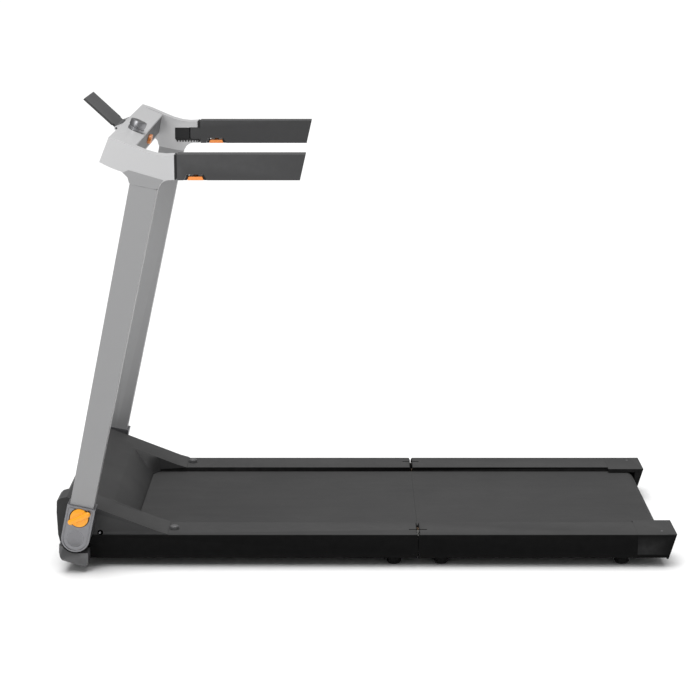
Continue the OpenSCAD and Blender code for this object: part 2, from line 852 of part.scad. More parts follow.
// Hollow upright with a solid foot, and a spigot that enters the fork
module post() {
    color("#9c9c9c") difference() {
        union() {
            slab(post_y0, post_y1) post_outline(0);
            slab(post_y0 + post_wall, post_y1 - post_wall) along_post()
                translate([-spigot_w / 2, post_l - 20]) square([spigot_w, 20 + spigot_l]);
        }
        slab(post_y0 + post_wall, post_y1 - post_wall) intersection() {
            post_outline(post_wall);
            along_post() translate([-post_w1, post_solid_l])
                square([2 * post_w1, post_l - 20 - post_solid_l]);
        }
        slab(post_y0 + 2 * post_wall, post_y1 - 2 * post_wall) along_post()
            translate([-spigot_w / 2 + post_wall, post_l - 21])
                square([spigot_w - 2 * post_wall, spigot_l + 30]);
        rod(pivot_x, pivot_z, pivot_r + run_fit, post_y0 - 1, post_y1 - 7.5);
        rod(lock_x, lock_z, lock_r + run_fit, post_y0 - 1, post_y1 + 1);
    }
}

module cap_outline(r) {
    along_post() {
        circle(r);
        translate([-r, 0]) square([2 * r, cap_l]);
    }
}

// Metal cap that wraps the foot of each upright, with a round dish
module pivot_caps() {
    dish_r = 19;
    dish_h = 1.2;
    fit = 0.2;
    color("#8e8e92") pair() difference() {
        slab(side_y0, side_y1 + cap_face) cap_outline(cap_r);
        slab(post_y0 - fit, side_y1) {
            cap_outline(post_w0 / 2 + 0.6);
            along_post() translate([-post_w0 / 2 - 0.6, 0]) square([post_w0 + 1.2, cap_l + 1]);
        }
        rod(pivot_x, pivot_z, pivot_r + 0.5, side_y0 - 1, post_y0);
        rod(pivot_x, pivot_z, dish_r, side_y1 + cap_face - dish_h, side_y1 + cap_face + 1);
        rod(lock_x, lock_z, lock_r + run_fit, side_y1 - 1, side_y1 + cap_face + 1);
        rod(lock_x, lock_z, lock_r + 0.5, side_y0 - 1, post_y0);
    }
}

// Quarter-turn lock knob with a bar handle
module lock_knob() {
    disc_r = 21;
    disc_t = 6;
    grip_l = 56;
    grip_w = 13;
    grip_angle = 24;
    y = side_y1 + cap_face + slide_air;
    color("#ffb428") {
        rod(lock_x, lock_z, disc_r, y, y + disc_t);
        slab(y + disc_t - EPS, y + disc_t + 6) translate([lock_x, lock_z]) rotate(grip_angle) {
            square([grip_l - grip_w, grip_w], center = true);
            for (s = [-1, 1]) translate([s * (grip_l - grip_w) / 2, 0]) circle(grip_w / 2);
        }
        rod(lock_x, lock_z, lock_r, side_y0 + 0.5, y + EPS);
    }
}

// ---------- console ----------

module fork_outline() {
    polygon(concat(
        from_neck(fork_pts),
        [[fork_end, arm_z1 - 1.5], [fork_end, arm_z0 + 0.5]],
        from_neck(fork_low_pts)
    ));
}

module fork() {
    fit = 0.2;
    color("#bdbdbd") difference() {
        slab(side_y0, side_y1) fork_outline();
        slab(post_y0 + post_wall - fit, post_y1 - post_wall + fit) along_post()
            translate([-spigot_w / 2 - fit, post_l - 10])
                square([spigot_w + 2 * fit, spigot_l + 11]);
        slab(side_y0 - 1, side_y1 + 1) along_post()
            translate([-post_w1 / 2 - 10, post_l - 30]) square([post_w1 + 20, 30 + fit]);
        block(arm_pin_x - tongue_t / 2 - tongue_air, fork_end + 1, side_y0 - 1,
            side_y0 + tongue_t + tongue_air, tongue_z0 - tongue_air, tongue_z0 + tongue_h + tongue_air);
        block(arm_pin_x - tongue_t / 2 - block_l, arm_pin_x, side_y0 - 1,
            side_y0 + tongue_t, tongue_z0, tongue_z0 + tongue_h);
        block(fork_end - swing_step, fork_end + 1, side_y0 - 1, side_y0 + 2 * swing_step,
            arm_z0 - 1, arm_z1 + 1);
        translate([arm_pin_x, -arm_pin_y, arm_pin_z0]) cylinder(r = arm_pin_r, h = arm_pin_l);
    }
}

// Latch housing of the arm hinge, let into the fork's inner side
module arm_hinge_blocks() {
    x1 = arm_pin_x - tongue_t / 2 - tongue_air;
    color("#3a3a3a") pair()
        block(x1 - block_l + tongue_air, x1, side_y0, side_y0 + tongue_t, tongue_z0,
            tongue_z0 + tongue_h);
}

module arm_hinge_pins() {
    color("#9a9a9a") pair() translate([arm_pin_x, -arm_pin_y, arm_pin_z0])
        cylinder(r = arm_pin_r, h = arm_pin_l);
}

module bar_outline(k) {
    polygon(from_neck(drawn_in(bar_pts, bar_mid, k)));
}

// Rear strip of the bar's outline, where the cover sits
module cover_outline() {
    p = from_neck(bar_pts);
    q = from_neck(drawn_in(bar_pts, bar_mid, bar_shell));
    run = (q[1] - p[1]) * 0.9;
    rise = (q[2] - p[2]) * 0.9;
    up = (p[2] - p[1]) * 0.09;
    polygon([p[1] + up, p[2] - up, q[2] - up * 0.3, q[1] + up * 0.3]);
}

// Cross bar between the forks, a shell that is open to the rear
module console_bar() {
    half = side_y0;
    color("#b2b2b2") {
        difference() {
            slab(-half, half) bar_outline(1);
            slab(-half + wall, half - wall) bar_outline(bar_shell);
            slab(-half + wall, half - wall) cover_outline();
            knob_place() translate([0, 0, -20]) cylinder(r = knob_pin_r + run_fit, h = 30);
        }
        pair() holder_ear();
    }
}

module console_cover() {
    key_fit = 0.3;
    color("#6c6c6c") difference() {
        slab(-side_y0 + wall, side_y0 - wall) cover_outline();
        key_place() translate([0, 0, -12]) cylinder(r = key_peg_r + key_fit, h = 20);
    }
}

module control_board() {
    board_w = 150;
    color("#2f6b45") translate([neck_x - 62, -board_w / 2, neck_z + 60]) rotate([0, 12, 0])
        cube([28, board_w, 3]);
}

// Frame of the knob: on the bar's top, with Z out of it
module knob_place() {
    translate([knob_at[0], knob_y, knob_at[1]]) rotate([0, bar_top_angle, 0]) children();
}

module console_knob() {
    lift = 0.4;
    color("#55585c") knob_place() {
        translate([0, 0, lift]) cylinder(r = knob_r, h = knob_h);
        translate([0, 0, -9]) cylinder(r = knob_pin_r, h = 9 + lift + EPS);
    }
}

// Frame of the safety key: on the rear face, with Z out of it
module key_place() {
    p = from_neck(bar_pts);
    at = p[1] * (1 - key_low) + p[2] * key_low;
    face = atan2(p[1][0] - p[2][0], p[1][1] - p[2][1]);
    translate([at[0], key_y, at[1]]) rotate([0, 90 + face, 0]) children();
}

module safety_key() {
    key_w = 46;
    key_h = 20;
    color("#ff7a1e") key_place() {
        translate([0, 0, 0.3]) linear_extrude(7) {
            square([key_h, key_w - key_h], center = true);
            for (s = [-1, 1]) translate([0, s * (key_w - key_h) / 2]) circle(key_h / 2);
        }
        translate([0, 0, -7]) cylinder(r = key_peg_r, h = 8);
    }
}

// Ear on the bar's front edge that carries the holder's pin
module holder_ear() {
    y0 = barrel_half + 0.5;
    difference() {
        union() {
            rod(hinge_at[0], hinge_at[1], hinge_barrel_r, y0, y0 + ear_w);
            slab(y0, y0 + ear_w) polygon([
                [hinge_at[0] - 1, hinge_at[1] + hinge_barrel_r - 0.2],
                [neck_x - 74, neck_z + 108],
                [neck_x - 80.5, neck_z + 90], [hinge_at[0] + 1, hinge_at[1] - hinge_barrel_r + 0.2]
            ]);
        }
        rod(hinge_at[0], hinge_at[1], hinge_pin_r + run_fit, y0 - 1, y0 + ear_w + 1);
    }
}

// Fold-down panel that holds a phone, on a barrel hinge
module phone_holder() {
    lip = 8;
    color("#6a6a6a") {
        slab(-barrel_half, barrel_half) translate(hinge_at) {
            circle(hinge_barrel_r);
            rotate(-holder_angle) translate([-12, -holder_t / 2]) square([12, holder_t]);
        }
        slab(-holder_half, holder_half) translate(hinge_at) rotate(-holder_angle)
            translate([-12 - holder_l, -holder_t / 2]) square([holder_l, holder_t]);
        slab(-barrel_half - ear_w, barrel_half + ear_w) translate(hinge_at) circle(hinge_pin_r);
    }
}

// ---------- arms ----------

module arm_outline() {
    tip = 13;
    polygon([
        [arm_x0, arm_z0], [arm_x1 - tip, arm_z0], [arm_x1, arm_z1], [arm_x0, arm_z1]
    ]);
}

module arm() {
    guide_r = button_stem_r + 4;
    color("#4f4f4f") difference() {
        union() {
            difference() {
                slab(side_y0, side_y1) arm_outline();
                block(arm_x0 + arm_wall, arm_x1 - 30, side_y0 + arm_wall, side_y1 - arm_wall,
                    arm_z0 + arm_wall, arm_z1 - arm_wall);
            }
            block(fork_end + slide_air, arm_x0 + EPS, side_y0 + arm_neck_in, side_y1 - arm_neck_in,
                arm_z0 + arm_neck_in, arm_z1 - arm_neck_in);
            block(arm_pin_x, arm_x0 + EPS, side_y0, side_y0 + tongue_t, tongue_z0,
                tongue_z0 + tongue_h);
            translate([arm_pin_x, -arm_pin_y, tongue_z0]) cylinder(r = tongue_t / 2, h = tongue_h);
            translate([notch_x, -(side_y0 + side_y1) / 2, arm_z0 + 22])
                cylinder(r = guide_r, h = arm_h - 22 - EPS);
        }
        slab(side_y0 - 1, side_y1 + 1) polygon([
            [notch_x - 26, arm_z0 - EPS], [notch_x - 18, arm_z0 + notch_h],
            [notch_x + 18, arm_z0 + notch_h], [notch_x + 26, arm_z0 - EPS]
        ]);
        translate([arm_pin_x, -arm_pin_y, tongue_z0 - 1])
            cylinder(r = arm_pin_r + run_fit, h = tongue_h + 2);
        translate([notch_x, -(side_y0 + side_y1) / 2, arm_z0 + 21])
            cylinder(r = button_stem_r + run_fit, h = 30);
    }
}

module release_button() {
    stem_l = 20;
    color("#ff9a3c") {
        slab(side_y0 + slide_air, side_y1 - slide_air) polygon([
            [notch_x - 18, arm_z0], [notch_x - 15, arm_z0 + button_h],
            [notch_x + 15, arm_z0 + button_h], [notch_x + 18, arm_z0]
        ]);
        translate([notch_x, -(side_y0 + side_y1) / 2, arm_z0 + button_h - EPS])
            cylinder(r = button_stem_r, h = stem_l);
    }
}

// ---------- nodes ----------

base_frame();
upright_plates();
on_side(-1) front_rail();  // front_rail_left
on_side(1) front_rail();  // front_rail_right
running_board(slot_x - 2, front_end);  // front_running_board
belly_pan(tube_front, front_end);  // front_belly_pan
motor_hood();
hood_tray();
tray_screws();
motor_housing();
motor_controller();
motor_rotor();
drive_belt();
power_inlet();
power_switch();
upright_pivot_pins();
pivot_guards();
wheel_axles();
on_side(-1) transport_wheel();  // transport_wheel_left
on_side(1) transport_wheel();  // transport_wheel_right
front_feet();
fold_bumpers();
roller(roller_x0);  // front_roller
roller_pulley();
roller_axle(roller_x0);  // front_roller_axle
running_belt(roller_x0, fold_x - belt_seam / 2);  // belt_front
fold_pins(fold_x - pin_half);  // front_fold_pins
on_side(-1) fold_link();  // fold_link_left
on_side(1) fold_link();  // fold_link_right
fold_pins(fold_x + pin_half);  // rear_fold_pins
rear_frame();
on_side(-1) rear_rail();  // rear_rail_left
on_side(1) rear_rail();  // rear_rail_right
on_side(-1) end_cap();  // end_cap_left
on_side(1) end_cap();  // end_cap_right
running_board(rear_end, roller_x1 - belt_out_r - 5);  // rear_running_board
belly_pan(rear_end, roller_x1 - 30);  // rear_belly_pan
running_belt(roller_x1, fold_x + belt_seam / 2);  // belt_rear
rear_feet();
roller(roller_x1);  // rear_roller
roller_axle(roller_x1);  // rear_roller_axle
on_side(-1) post();  // post_left
on_side(1) post();  // post_right
pivot_caps();
on_side(-1) lock_knob();  // lock_knob_left
on_side(1) lock_knob();  // lock_knob_right
on_side(-1) fork();  // fork_left
on_side(1) fork();  // fork_right
console_bar();
console_cover();
control_board();
console_knob();
phone_holder();
safety_key();
arm_hinge_blocks();
arm_hinge_pins();
on_side(-1) arm();  // arm_left
on_side(1) arm();  // arm_right
on_side(-1) release_button();  // release_button_left
on_side(1) release_button();  // release_button_right
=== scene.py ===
"""Folding home treadmill: finishes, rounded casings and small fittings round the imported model."""
import json
import logging
import math
from dataclasses import dataclass
from enum import Enum

import bmesh
import bpy
from mathutils import Matrix, Vector


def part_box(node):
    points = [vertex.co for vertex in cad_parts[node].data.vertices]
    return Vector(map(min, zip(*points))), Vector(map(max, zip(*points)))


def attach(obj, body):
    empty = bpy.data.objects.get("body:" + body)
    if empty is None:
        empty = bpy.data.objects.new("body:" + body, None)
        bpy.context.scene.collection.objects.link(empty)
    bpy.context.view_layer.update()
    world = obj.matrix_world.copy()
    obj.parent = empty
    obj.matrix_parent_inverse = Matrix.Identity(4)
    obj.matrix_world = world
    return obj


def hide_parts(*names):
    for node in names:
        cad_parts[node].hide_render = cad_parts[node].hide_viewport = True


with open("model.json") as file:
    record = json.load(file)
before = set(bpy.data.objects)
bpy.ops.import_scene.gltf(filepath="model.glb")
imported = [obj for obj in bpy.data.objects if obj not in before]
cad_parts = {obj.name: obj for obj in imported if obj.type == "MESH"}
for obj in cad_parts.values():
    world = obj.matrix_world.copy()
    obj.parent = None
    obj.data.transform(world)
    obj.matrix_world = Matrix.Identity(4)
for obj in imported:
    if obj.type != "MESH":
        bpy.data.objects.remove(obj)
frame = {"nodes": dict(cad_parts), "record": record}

LOG = logging.getLogger("treadmill")
MM = 0.001
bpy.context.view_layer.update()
BEHAVIOUR = frame["record"]["behaviour"]
BODY_OF = {node: body for body, nodes in BEHAVIOUR["bodies"].items() for node in nodes}
JOINTS = {joint["name"]: joint for joint in BEHAVIOUR["joints"]}
SLOT_OF = {part["node"]: part["material_slot"] for part in frame["record"]["subparts"]}

SHARP_FROM = math.radians(28)
RIM_FROM = math.radians(50)
SMOOTH_TO = math.radians(32)
FLAT_WITHIN = math.radians(0.3)
MERGE_WITHIN = 2e-6
SIDES = (("left", -1), ("right", 1))
DUST_COLOUR = (0.45, 0.44, 0.42, 1)

Colour = tuple[float, float, float]
Point2 = tuple[float, float]


# ---------------------------------------------------------------- shader groups


class Socket(Enum):
    """Kinds of socket that the shader groups use."""

    VALUE = "NodeSocketFloat"
    COLOUR = "NodeSocketColor"
    VECTOR = "NodeSocketVector"


@dataclass
class GroupBuilder:
    """Builds one shader node group with named inputs and outputs."""

    name: str

    def __post_init__(self) -> None:
        """Makes the empty tree and its two ends."""
        self.tree = bpy.data.node_groups.new(self.name, "ShaderNodeTree")
        self.start = self.tree.nodes.new("NodeGroupInput")
        self.end = self.tree.nodes.new("NodeGroupOutput")

    def takes(self, name: str, kind: Socket, default: float | tuple) -> None:
        """Adds a named input with its default."""
        socket = self.tree.interface.new_socket(name, in_out="INPUT", socket_type=kind.value)
        socket.default_value = default

    def gives(self, name: str, kind: Socket) -> None:
        """Adds a named output."""
        self.tree.interface.new_socket(name, in_out="OUTPUT", socket_type=kind.value)

    def node(self, kind: str, **settings: object) -> bpy.types.Node:
        """Adds a node and sets its properties."""
        made = self.tree.nodes.new(kind)
        for key, value in settings.items():
            setattr(made, key, value)
        return made

    def link(self, source: bpy.types.NodeSocket, target: bpy.types.NodeSocket) -> None:
        """Joins two sockets."""
        self.tree.links.new(source, target)

    def maths(self, operation: str, first: object, second: object = None) -> bpy.types.NodeSocket:
        """Adds a Math node; each operand is a socket or a number.

        Args:
            operation: the Math node's operation.
            first: the first operand.
            second: the second operand, where the operation has one.

        Returns:
            The node's output socket.
        """
        made = self.node("ShaderNodeMath", operation=operation)
        for index, operand in enumerate((first, second)):
            if isinstance(operand, (int, float)):
                made.inputs[index].default_value = operand
            elif operand is not None:
                self.link(operand, made.inputs[index])
        return made.outputs[0]

    def ramp(self, value: bpy.types.NodeSocket, low: float, high: float) -> bpy.types.NodeSocket:
        """Returns 0 to 1 as a value goes from low to high."""
        made = self.node("ShaderNodeMapRange")
        made.inputs["From Min"].default_value = low
        made.inputs["From Max"].default_value = high
        self.link(value, made.inputs["Value"])
        return made.outputs["Result"]

    def blend(self, factor: bpy.types.NodeSocket, first: bpy.types.NodeSocket,
              second: object) -> bpy.types.NodeSocket:
        """Mixes two colours; the second is a socket or a colour."""
        made = self.node("ShaderNodeMix", data_type="RGBA")
        self.link(factor, made.inputs["Factor"])
        self.link(first, made.inputs["A"])
        if isinstance(second, tuple):
            made.inputs["B"].default_value = second
        else:
            self.link(second, made.inputs["B"])
        return made.outputs["Result"]

    def bump(self, height: bpy.types.NodeSocket, distance: float) -> bpy.types.NodeSocket:
        """Returns the normal of a height, with the group's Depth as its strength."""
        made = self.node("ShaderNodeBump")
        made.inputs["Distance"].default_value = distance
        self.link(self.start.outputs["Depth"], made.inputs["Strength"])
        self.link(height, made.inputs["Height"])
        return made.outputs["Normal"]

    def noise(self, scale: object, detail: float, squash: Colour = (1, 1, 1)) -> bpy.types.NodeSocket:
        """Adds a noise on Object coordinates.

        Args:
            scale: the noise's scale, a socket or a number.
            detail: its octaves.
            squash: how much finer it is along each axis.

        Returns:
            The noise's value socket.
        """
        place = self.node("ShaderNodeTexCoord")
        mapping = self.node("ShaderNodeMapping")
        mapping.inputs["Scale"].default_value = squash
        texture = self.node("ShaderNodeTexNoise")
        texture.inputs["Detail"].default_value = detail
        self.link(place.outputs["Object"], mapping.inputs["Vector"])
        self.link(mapping.outputs["Vector"], texture.inputs["Vector"])
        if isinstance(scale, (int, float)):
            texture.inputs["Scale"].default_value = scale
        else:
            self.link(scale, texture.inputs["Scale"])
        return texture.outputs["Fac"]


def grain_group() -> bpy.types.ShaderNodeTree:
    """Returns the fine grain of moulded or painted skins, as a normal and a roughness shift."""
    made = GroupBuilder("skin_grain")
    made.takes("Scale", Socket.VALUE, 1500.0)
    made.takes("Depth", Socket.VALUE, 0.1)
    made.takes("Roughness", Socket.VALUE, 0.5)
    made.gives("Normal", Socket.VECTOR)
    made.gives("Roughness", Socket.VALUE)
    fine = made.noise(made.start.outputs["Scale"], 3.0)
    made.link(made.bump(fine, 0.4 * MM), made.end.inputs["Normal"])
    patches = made.noise(14.0, 2.0)
    shift = made.maths("MULTIPLY", made.maths("SUBTRACT", patches, 0.5), 0.16)
    made.link(made.maths("ADD", shift, made.start.outputs["Roughness"]), made.end.inputs["Roughness"])
    return made.tree


def tone_group() -> bpy.types.ShaderNodeTree:
    """Returns a finish's colour, with painted shade on faces that don't face up, rubbed edges and settled
    dust.
    """
    made = GroupBuilder("painted_shade_and_aged_tone")
    made.takes("Colour", Socket.COLOUR, (0.5, 0.5, 0.5, 1))
    made.takes("Worn Colour", Socket.COLOUR, (0.7, 0.7, 0.7, 1))
    made.takes("Wear", Socket.VALUE, 0.3)
    made.takes("Dust", Socket.VALUE, 0.04)
    made.takes("Painted Shade Colour", Socket.COLOUR, (0.5, 0.5, 0.5, 1))
    made.gives("Colour", Socket.COLOUR)
    facing = made.node("ShaderNodeSeparateXYZ")
    made.link(made.node("ShaderNodeTexCoord").outputs["Normal"], facing.inputs["Vector"])
    ends = made.start.outputs
    # Painted shade: faces whose object normal points less than about half upwards take the darker side
    # colour.
    base = made.blend(made.ramp(facing.outputs["Z"], 0.45, 0.7), ends["Painted Shade Colour"], ends["Colour"])
    pointed = made.node("ShaderNodeNewGeometry").outputs["Pointiness"]
    patchy = made.maths("ADD", made.noise(60.0, 3.0), 0.3)
    rubbed = made.maths("MULTIPLY", made.ramp(pointed, 0.52, 0.60), patchy)
    worn = made.blend(made.maths("MULTIPLY", rubbed, ends["Wear"]), base, ends["Worn Colour"])
    upward = made.maths("MAXIMUM", facing.outputs["Z"], 0.0)
    lying = made.maths("MULTIPLY", upward, made.noise(9.0, 4.0))
    dusty = made.blend(made.maths("MULTIPLY", lying, ends["Dust"]), worn, DUST_COLOUR)
    made.link(dusty, made.end.inputs["Colour"])
    return made.tree


def brushed_group() -> bpy.types.ShaderNodeTree:
    """Returns the streaks of brushed or turned metal, as a roughness and a normal."""
    made = GroupBuilder("brushed_streaks")
    made.takes("Roughness", Socket.VALUE, 0.3)
    made.takes("Depth", Socket.VALUE, 0.1)
    made.gives("Roughness", Socket.VALUE)
    made.gives("Normal", Socket.VECTOR)
    streaks = made.noise(300.0, 3.0, (1.0, 0.03, 1.0))
    shift = made.maths("MULTIPLY", made.maths("SUBTRACT", streaks, 0.5), 0.3)
    made.link(made.maths("ADD", shift, made.start.outputs["Roughness"]), made.end.inputs["Roughness"])
    made.link(made.bump(streaks, 0.2 * MM), made.end.inputs["Normal"])
    return made.tree


def weave_group() -> bpy.types.ShaderNodeTree:
    """Returns the diamond tread of the running belt, as a height and a mask."""
    made = GroupBuilder("belt_diamonds")
    made.takes("Pitch", Socket.VALUE, 1400.0)
    made.gives("Height", Socket.VALUE)
    made.gives("Mask", Socket.VALUE)
    place = made.node("ShaderNodeSeparateXYZ")
    made.link(made.node("ShaderNodeTexCoord").outputs["Object"], place.inputs["Vector"])
    waves = []
    for operation in ("ADD", "SUBTRACT"):
        along = made.maths(operation, place.outputs["X"], place.outputs["Y"])
        waves.append(made.maths("SINE", made.maths("MULTIPLY", along, made.start.outputs["Pitch"])))
    diamonds = made.maths("MULTIPLY", waves[0], waves[1])
    made.link(diamonds, made.end.inputs["Height"])
    scuffs = made.noise(22.0, 5.0, (0.25, 1.0, 1.0))
    made.link(scuffs, made.end.inputs["Mask"])
    return made.tree


# ---------------------------------------------------------------- finishes


@dataclass(frozen=True)
class Finish:
    """A moulded, painted or rubber skin with its own grain, wear and dust, and painted shade on faces that
    don't face up.
    """

    slot: str
    colour: Colour
    roughness: float = 0.5
    metallic: float = 0.0
    grain: float = 1500.0
    depth: float = 0.12
    wear: float = 0.3
    dust: float = 0.04
    worn_by: float = 1.8
    coat: float = 0.0
    shine: float = 0.5
    # side: painted shade colour for faces that don't face up; None keeps the finish's own colour there.
    side: Colour | None = None

    def build(self, groups: dict[str, bpy.types.ShaderNodeTree]) -> bpy.types.Material:
        """Returns the finish as a material."""
        material = bpy.data.materials.new(self.slot)
        material.use_nodes = True
        shader = material.node_tree.nodes["Principled BSDF"]
        shader.inputs["Metallic"].default_value = self.metallic
        shader.inputs["Coat Weight"].default_value = self.coat
        shader.inputs["Specular IOR Level"].default_value = self.shine
        tone = self.group(material, groups["tone"])
        tone.inputs["Colour"].default_value = (*self.colour, 1)
        # The side colour is painted shade on faces that don't face up.
        tone.inputs["Painted Shade Colour"].default_value = (*(self.side or self.colour), 1)
        tone.inputs["Worn Colour"].default_value = (*(min(1, c * self.worn_by) for c in self.colour), 1)
        tone.inputs["Wear"].default_value = self.wear
        tone.inputs["Dust"].default_value = self.dust
        material.node_tree.links.new(tone.outputs["Colour"], shader.inputs["Base Color"])
        self.surface(material, shader, groups)
        return material

    def group(self, material: bpy.types.Material, tree: bpy.types.ShaderNodeTree) -> bpy.types.Node:
        """Places a shader group in the material."""
        placed = material.node_tree.nodes.new("ShaderNodeGroup")
        placed.node_tree = tree
        return placed

    def feed(self, material: bpy.types.Material, placed: bpy.types.Node, shader: bpy.types.Node) -> None:
        """Joins a group's normal and roughness to the shader."""
        for name in ("Normal", "Roughness"):
            material.node_tree.links.new(placed.outputs[name], shader.inputs[name])

    def surface(self, material: bpy.types.Material, shader: bpy.types.Node,
                groups: dict[str, bpy.types.ShaderNodeTree]) -> None:
        """Joins the grain to the shader."""
        grain = self.group(material, groups["grain"])
        grain.inputs["Scale"].default_value = self.grain
        grain.inputs["Depth"].default_value = self.depth
        grain.inputs["Roughness"].default_value = self.roughness
        self.feed(material, grain, shader)


@dataclass(frozen=True)
class BrushedMetal(Finish):
    """Plated, turned or brushed metal."""

    metallic: float = 1.0

    def surface(self, material: bpy.types.Material, shader: bpy.types.Node,
                groups: dict[str, bpy.types.ShaderNodeTree]) -> None:
        """Joins the streaks to the shader."""
        streaks = self.group(material, groups["brushed"])
        streaks.inputs["Roughness"].default_value = self.roughness
        streaks.inputs["Depth"].default_value = self.depth
        self.feed(material, streaks, shader)


@dataclass(frozen=True)
class BeltFinish(Finish):
    """Running belt: a fine diamond tread with long scuffs."""

    pitch: float = 1400.0
    scuffed: float = 0.12

    def surface(self, material: bpy.types.Material, shader: bpy.types.Node,
                groups: dict[str, bpy.types.ShaderNodeTree]) -> None:
        """Joins the tread to the shader."""
        tree = material.node_tree
        weave = self.group(material, groups["weave"])
        weave.inputs["Pitch"].default_value = self.pitch
        bump = tree.nodes.new("ShaderNodeBump")
        bump.inputs["Strength"].default_value = self.depth
        bump.inputs["Distance"].default_value = 0.5 * MM
        tree.links.new(weave.outputs["Height"], bump.inputs["Height"])
        tree.links.new(bump.outputs["Normal"], shader.inputs["Normal"])
        spread = tree.nodes.new("ShaderNodeMapRange")
        spread.inputs["To Min"].default_value = self.roughness - self.scuffed
        spread.inputs["To Max"].default_value = self.roughness + self.scuffed
        tree.links.new(weave.outputs["Mask"], spread.inputs["Value"])
        tree.links.new(spread.outputs["Result"], shader.inputs["Roughness"])


def grey(level: float, blue: float | None = None) -> Colour:
    """Returns a grey, with its own blue where it isn't neutral."""
    return level, level, level if blue is None else blue


# Painted shade: near-black colour for the sides and undersides of the rails and end caps.
PAINTED_SHADE_BLACK = grey(0.0016)
FINISHES = (
    Finish("steel_black", grey(0.012), 0.5, shine=0.2),
    Finish("rail_plastic", grey(0.042, 0.0425), 0.55, wear=0.35, worn_by=1.8, shine=0.05, side=PAINTED_SHADE_BLACK),
    Finish("cap_plastic", grey(0.044, 0.0445), 0.55, wear=0.35, worn_by=1.8, shine=0.05, side=PAINTED_SHADE_BLACK),
    Finish("board", (0.2, 0.13, 0.08), 0.6, grain=300, depth=0.3),
    Finish("pan_steel", grey(0.01), 0.5, shine=0.2),
    Finish("hood_plastic", grey(0.036, 0.0365), 0.5, depth=0.16, wear=0.35, worn_by=2.0, shine=0.14,
           side=grey(0.036, 0.0365)),
    Finish("tray_plastic", grey(0.012), 0.5, depth=0.16, shine=0.3),
    Finish("motor_paint", grey(0.014, 0.016), 0.4),
    Finish("drive_rubber", grey(0.01), 0.75, grain=700, depth=0.3),
    Finish("black_gloss", grey(0.01), 0.2, depth=0.02, coat=0.4),
    Finish("switch_red", (0.42, 0.02, 0.015), 0.25, depth=0.02, coat=0.5),
    # Painted shade: the guard's side faces take a darker grey than its top.
    Finish("guard_plastic", grey(0.036, 0.037), 0.38, depth=0.14, wear=0.7, worn_by=4.0,
           side=grey(0.024, 0.025)),
    Finish("wheel_rubber", grey(0.014), 0.8, grain=800, depth=0.25, shine=0.3),
    Finish("foot_rubber", grey(0.008), 0.82, grain=800, depth=0.25, shine=0.2),
    Finish("bumper_rubber", grey(0.075, 0.077), 0.5, grain=900, depth=0.15),
    Finish("pulley_nylon", grey(0.02), 0.5),
    Finish("post_paint", grey(0.3, 0.304), 0.42, metallic=0.2, grain=2600, depth=0.05, worn_by=1.3),
    Finish("console_plastic", grey(0.5, 0.505), 0.38, metallic=0.1, grain=2400, depth=0.05, worn_by=1.2),
    Finish("cover_plastic", grey(0.1, 0.102), 0.45, grain=2000, depth=0.08, worn_by=1.5, shine=0.3),
    Finish("circuit_board", (0.01, 0.1, 0.04), 0.35, grain=500, depth=0.1),
    # Painted shade: the holder's side faces take a darker grey than its top.
    Finish("holder_plastic", (0.068, 0.0684, 0.07), 0.5, worn_by=1.8, shine=0.2, side=grey(0.05, 0.051)),
    Finish("lock_amber", (1.0, 0.4, 0.01), 0.3, depth=0.04, wear=0.1, worn_by=1.1, coat=0.3),
    Finish("button_orange", (0.85, 0.27, 0.05), 0.35, depth=0.04, wear=0.1, worn_by=1.1, coat=0.2),
    Finish("hinge_plastic", grey(0.01, 0.0105), 0.4, shine=0.3),
    Finish("arm_foam", grey(0.052, 0.053), 0.62, grain=1100, depth=0.22, wear=0.35, worn_by=1.9, shine=0.2),
    BrushedMetal("zinc_steel", grey(0.58, 0.56), 0.32, worn_by=1.2),
    BrushedMetal("heat_sink", (0.42, 0.44, 0.42), 0.38, worn_by=1.2),
    BrushedMetal("roller_steel", grey(0.5), 0.3, worn_by=1.2),
    BrushedMetal("cap_metal", grey(0.205, 0.215), 0.38, depth=0.05, worn_by=1.8, wear=0.6),
    BrushedMetal("knob_chrome", grey(0.26, 0.27), 0.4, depth=0.02, worn_by=1.2),
    BeltFinish("running_belt", grey(0.035, 0.0355), 0.62, depth=0.35, wear=0.0, dust=0.03, shine=0.2),
)


class Palette:
    """Every finish as a material, by the record's slot name."""

    def __init__(self) -> None:
        """Builds the shared groups, then each material."""
        groups = {"grain": grain_group(), "tone": tone_group(),
                  "brushed": brushed_group(), "weave": weave_group()}
        self.materials = {finish.slot: finish.build(groups) for finish in FINISHES}

    def of(self, slot: str) -> bpy.types.Material:
        """Returns the material of a slot."""
        return self.materials[slot]

    def dress(self, thing: bpy.types.Object, slot: str) -> None:
        """Gives a whole piece one finish."""
        thing.data.materials.clear()
        thing.data.materials.append(self.of(slot))
        thing.data.polygons.foreach_set("material_index", [0] * len(thing.data.polygons))


# ---------------------------------------------------------------- mesh tools


class Edge(Enum):
    """How far a moulding's or pressing's edges are rounded, in metres."""

    CRISP = 0.0004
    FINE = 0.0008
    SOFT = 0.0016
    ROUND = 0.0035


def put(thing: bpy.types.Object) -> bpy.types.Object:
    """Links an object to the scene."""
    bpy.context.scene.collection.objects.link(thing)
    return thing


def outer_y(node: str, sign: int) -> float:
    """Returns the Y of a CAD node's face on the side that sign gives."""
    low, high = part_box(node)
    return high.y if sign > 0 else low.y


def add_piece(name: str, mesh: bpy.types.Mesh, body: str, slot: str) -> bpy.types.Object:
    """Links a finished mesh as a piece that rides on a body."""
    thing = put(bpy.data.objects.new(name, mesh))
    PALETTE.dress(thing, slot)
    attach(thing, body)
    LOG.info("%s on %s", name, body)
    return thing


